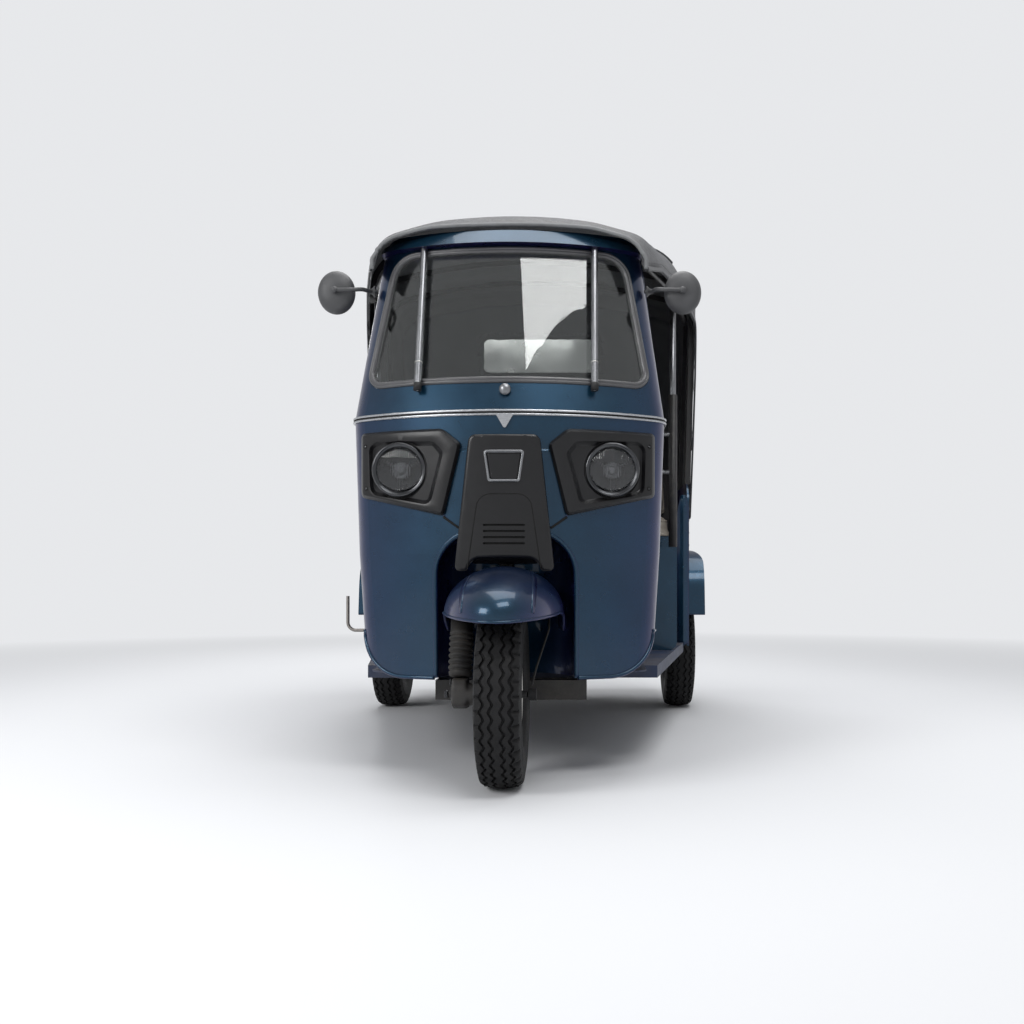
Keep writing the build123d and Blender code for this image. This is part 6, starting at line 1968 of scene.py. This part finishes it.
class RICKSHAW_OT_details(bpy.types.Operator):
    """Flanges, louvres, lamp lenses, plate border, end caps, dials and floor mat"""

    bl_idname = "rickshaw.details"
    bl_label = "Tail and cabin details"

    FLANGE = [
        (-0.027, -0.001), (-0.027, 0.0012), (-0.012, 0.0016), (-0.007, 0.0052), (-0.001, 0.0066), (0.005, 0.0052),
        (0.010, 0.0016), (0.022, 0.0012), (0.022, -0.001),
    ]
    LOUVRE = [
        (-0.004, -0.001), (-0.0064, 0.005), (-0.0062, 0.0064), (-0.003, 0.0068), (0.003, 0.0052), (0.0075, 0.0015),
        (0.0085, -0.001),
    ]
    BUMPER_CAP = [(-0.03, 0.0173), (-0.03, 0.0192), (0.004, 0.019), (0.008, 0.015), (0.009, 0.0001)]
    PIPE_MOUTH = [
        (-0.001, 0.0001), (0.0012, 0.0146), (0.0035, 0.016), (0.003, 0.0184), (-0.006, 0.0182), (-0.006, 0.016)
    ]
    DIALS = ((-0.17, 0.044), (-0.075, 0.026), (0.17, 0.034))  # x, radius
    DIAL_OUT = Vector((0, 0.421, 0.907)).normalized()
    DIAL_UP = Vector((0, -0.907, 0.421)).normalized()
    MAT_FLOOR = 0.3002

    def execute(self, context):
        self.tail()
        self.louvres()
        self.dials()
        self.mat()
        return {"FINISHED"}

    def tail(self):
        """The tub's front flanges, the tail lamps' ribs and frames, the plate's border and the rubber caps."""
        flanges, lamps, ambers, frames, caps = [], [], [], [], []
        fade = [min(1, 0.45 + (29 - i) / 6) for i in range(30)]
        for side in (1, -1):
            x = side * 0.626
            path = even_line((x, back(1546.5), 0.292), (x, back(1546.5), 0.905), 30)
            flanges.append(swept(path, [(side * a, b) for a, b in self.FLANGE][::side], up=(0, -1, 0), size=fade))
            x = side * 0.470
            loop = [Vector((x + a / 1000, TAIL + 0.0002, 0.81 + b / 1000)) for a, b in rectangle(-63, -46, 63, 46, 16)]
            frames.append(swept(even_loop(loop, 80), flat_strip(0.008, -0.001, 0.006), closed=True, up=Y))
            for k in range(11):
                start, end = (Vector((x + reach, TAIL + 0.0262, 0.836 - 0.0072 * k)) for reach in (-0.052, 0.052))
                ridge = swept(even_line(start, end, 6), half_round(0.0056, 0.0018, 0.001), up=Y)
                (ambers if k > 7 else lamps).append(ridge)
            caps.append(turned(self.BUMPER_CAP, (side * 0.600, back(2470), 0.290), -Y, 28))
        caps.append(turned(self.PIPE_MOUTH, (-0.310, back(2566), 0.242), Y, 28))
        add_nets("tub_front_flanges", flanges, "blue_paint", "blue_paint")
        add_nets("tail_lamp_ribs", lamps, "lamp_plastic", "lamp_plastic")
        add_nets("tail_lamp_amber_ribs", ambers, "amber_plastic", "lamp_plastic")
        add_nets("tail_lamp_frames", frames, "dark_rubber", "dark_rubber")
        add_nets("bumper_caps_and_pipe_mouth", caps, "dark_rubber", "dark_rubber")
        loop = [Vector((a / 1000, TAIL + 0.0028, b / 1000)) for a, b in rectangle(-164, 746, 164, 844, 8, 6)]
        border = swept(even_loop(loop, 120), half_round(0.0034, 0.0006, 0.0004), closed=True, up=Y)
        add_nets("plate_border", [border], "void", "plate_paint")

    def louvres(self):
        """Two columns of louvres on the tail lid, each with a dark strip of painted shade in the slit below."""
        louvres, slit_shades = [], []
        fade = [min(1, 0.3 + min(i, 16 - i) / 3) for i in range(17)]
        for side in (1, -1):
            for k in range(7):
                ends = (Vector((side * 0.17 + reach, TAIL + 0.0045, 0.475 + 0.024 * k)) for reach in (-0.075, 0.075))
                path = even_line(*ends, 17)
                louvres.append(swept(path, self.LOUVRE, up=Y, size=fade))
                # Painted shade: a near-black strip under each louvre stands for its slit's dark.
                low = [p - Vector((0, 0.0022, 0.0068)) for p in path[2:15]]
                slit_shades.append(swept(low, half_round(0.0036, 0.0016, 0.001), up=Y))
        add_nets("lid_louvres", louvres, "blue_paint", "blue_paint", "engine_lid")
        add_nets("lid_louvre_slits", slit_shades, "void", "blue_paint", "engine_lid")

    def dials(self):
        """Three dials on the dashboard's slope, with ticks and needles at rest."""
        rims, faces, ticks, needles = [], [], [], []
        out = self.DIAL_OUT

        def hand(angle, centre, r, start, end, lift, section):
            turn = math.radians(angle)
            way = Vector((math.sin(turn), 0, 0)) + self.DIAL_UP * math.cos(turn)
            return swept([centre + way * r * reach + out * lift for reach in (start, end)], section, up=out)

        for x, r in self.DIALS:
            centre = Vector((x, back(206), 1.0462)) + out * 0.0006
            rim = [
                (-0.004, r + 0.006), (0.004, r + 0.006), (0.0065, r + 0.003), (0.0065, r + 0.001), (0.002, r - 0.001),
                (-0.004, r - 0.001),
            ]
            rims.append(turned(rim, centre, out, 48, closed=True))
            faces.append(turned([(0.0008, 0.0001), (0.0014, 0.3 * r), (0.0014, r)], centre, out, 48))
            for k in range(21):
                start = 0.9 - (0.12 if k % 4 else 0.22)
                ticks.append(hand(-130 + 13 * k, centre, r, start, 0.9, 0.0014, ring_section(0.0006, 4)))
            needles.append(hand(-118, centre, r, -0.16, 0.8, 0.003, ring_section(0.0009, 6)))
            needles.append(turned([(0.001, r * 0.12), (0.004, r * 0.1), (0.0045, 0.0001)], centre, out, 20))
        add_nets("dial_rims", rims, "dark_chrome", "dash_plastic")
        add_nets("dial_faces", faces, "void", "dash_plastic")
        add_nets("dial_ticks", ticks, "pearl", "dash_plastic")
        add_nets("dial_needles", needles, "lamp_plastic", "dash_plastic")

    def mat(self):
        """A ribbed mat before the driver's seat."""

        def across(half, place, height):
            return even_line((-half, back(place), height), (half, back(place), height), 3)

        parts = [swept(across(0.34, 570, self.MAT_FLOOR), flat_strip(0.25, 0.0, 0.0028), up=(0, 0, 1))]
        for k in range(20):
            rib = across(0.332, 452 + 12.4 * k, self.MAT_FLOOR + 0.0026)
            parts.append(swept(rib, half_round(0.0066, 0.0022, 0.001), up=(0, 0, 1)))
        add_nets("floor_mat", parts, "mat", "dark_rubber")


# ---------------------------------------------------------------- panel and registration
PIECES = (
    RICKSHAW_OT_stage,
    RICKSHAW_OT_finishes,
    RICKSHAW_OT_hood,
    RICKSHAW_OT_seats,
    RICKSHAW_OT_tyres,
    RICKSHAW_OT_wheels,
    RICKSHAW_OT_lamps,
    RICKSHAW_OT_face,
    RICKSHAW_OT_mirrors,
    RICKSHAW_OT_fork,
    RICKSHAW_OT_fasteners,
    RICKSHAW_OT_details,
)
SETTINGS = {
    "rickshaw_stage": StageSettings,
    "rickshaw_paint": PaintSettings,
    "rickshaw_cloth": ClothSettings,
    "rickshaw_seats": SeatSettings,
    "rickshaw_tyres": TyreSettings,
}


class RICKSHAW_PT_panel(bpy.types.Panel):
    """Lists the vehicle's pieces and their settings"""

    bl_idname = "RICKSHAW_PT_panel"
    bl_label = "Auto Rickshaw"
    bl_space_type = "VIEW_3D"
    bl_region_type = "UI"
    bl_category = "Rickshaw"

    def draw(self, context):
        for name, settings in SETTINGS.items():
            box = self.layout.box()
            for field in settings.__annotations__:
                box.prop(getattr(context.scene, name), field)
        for piece in PIECES:
            self.layout.operator(piece.bl_idname)


def register():
    for name, group in SETTINGS.items():
        bpy.utils.register_class(group)
        setattr(bpy.types.Scene, name, PointerProperty(type=group))
    for piece in (*PIECES, RICKSHAW_PT_panel):
        bpy.utils.register_class(piece)


def unregister():
    for piece in (RICKSHAW_PT_panel, *reversed(PIECES)):
        bpy.utils.unregister_class(piece)
    for name, group in reversed(SETTINGS.items()):
        delattr(bpy.types.Scene, name)
        bpy.utils.unregister_class(group)


def main():
    """Makes the whole vehicle."""
    register()
    for piece in PIECES:
        group, name = piece.bl_idname.split(".")
        if getattr(getattr(bpy.ops, group), name)() != {"FINISHED"}:
            raise RuntimeError(f"{piece.bl_label} did not finish")


if __name__ == "__main__":
    main()
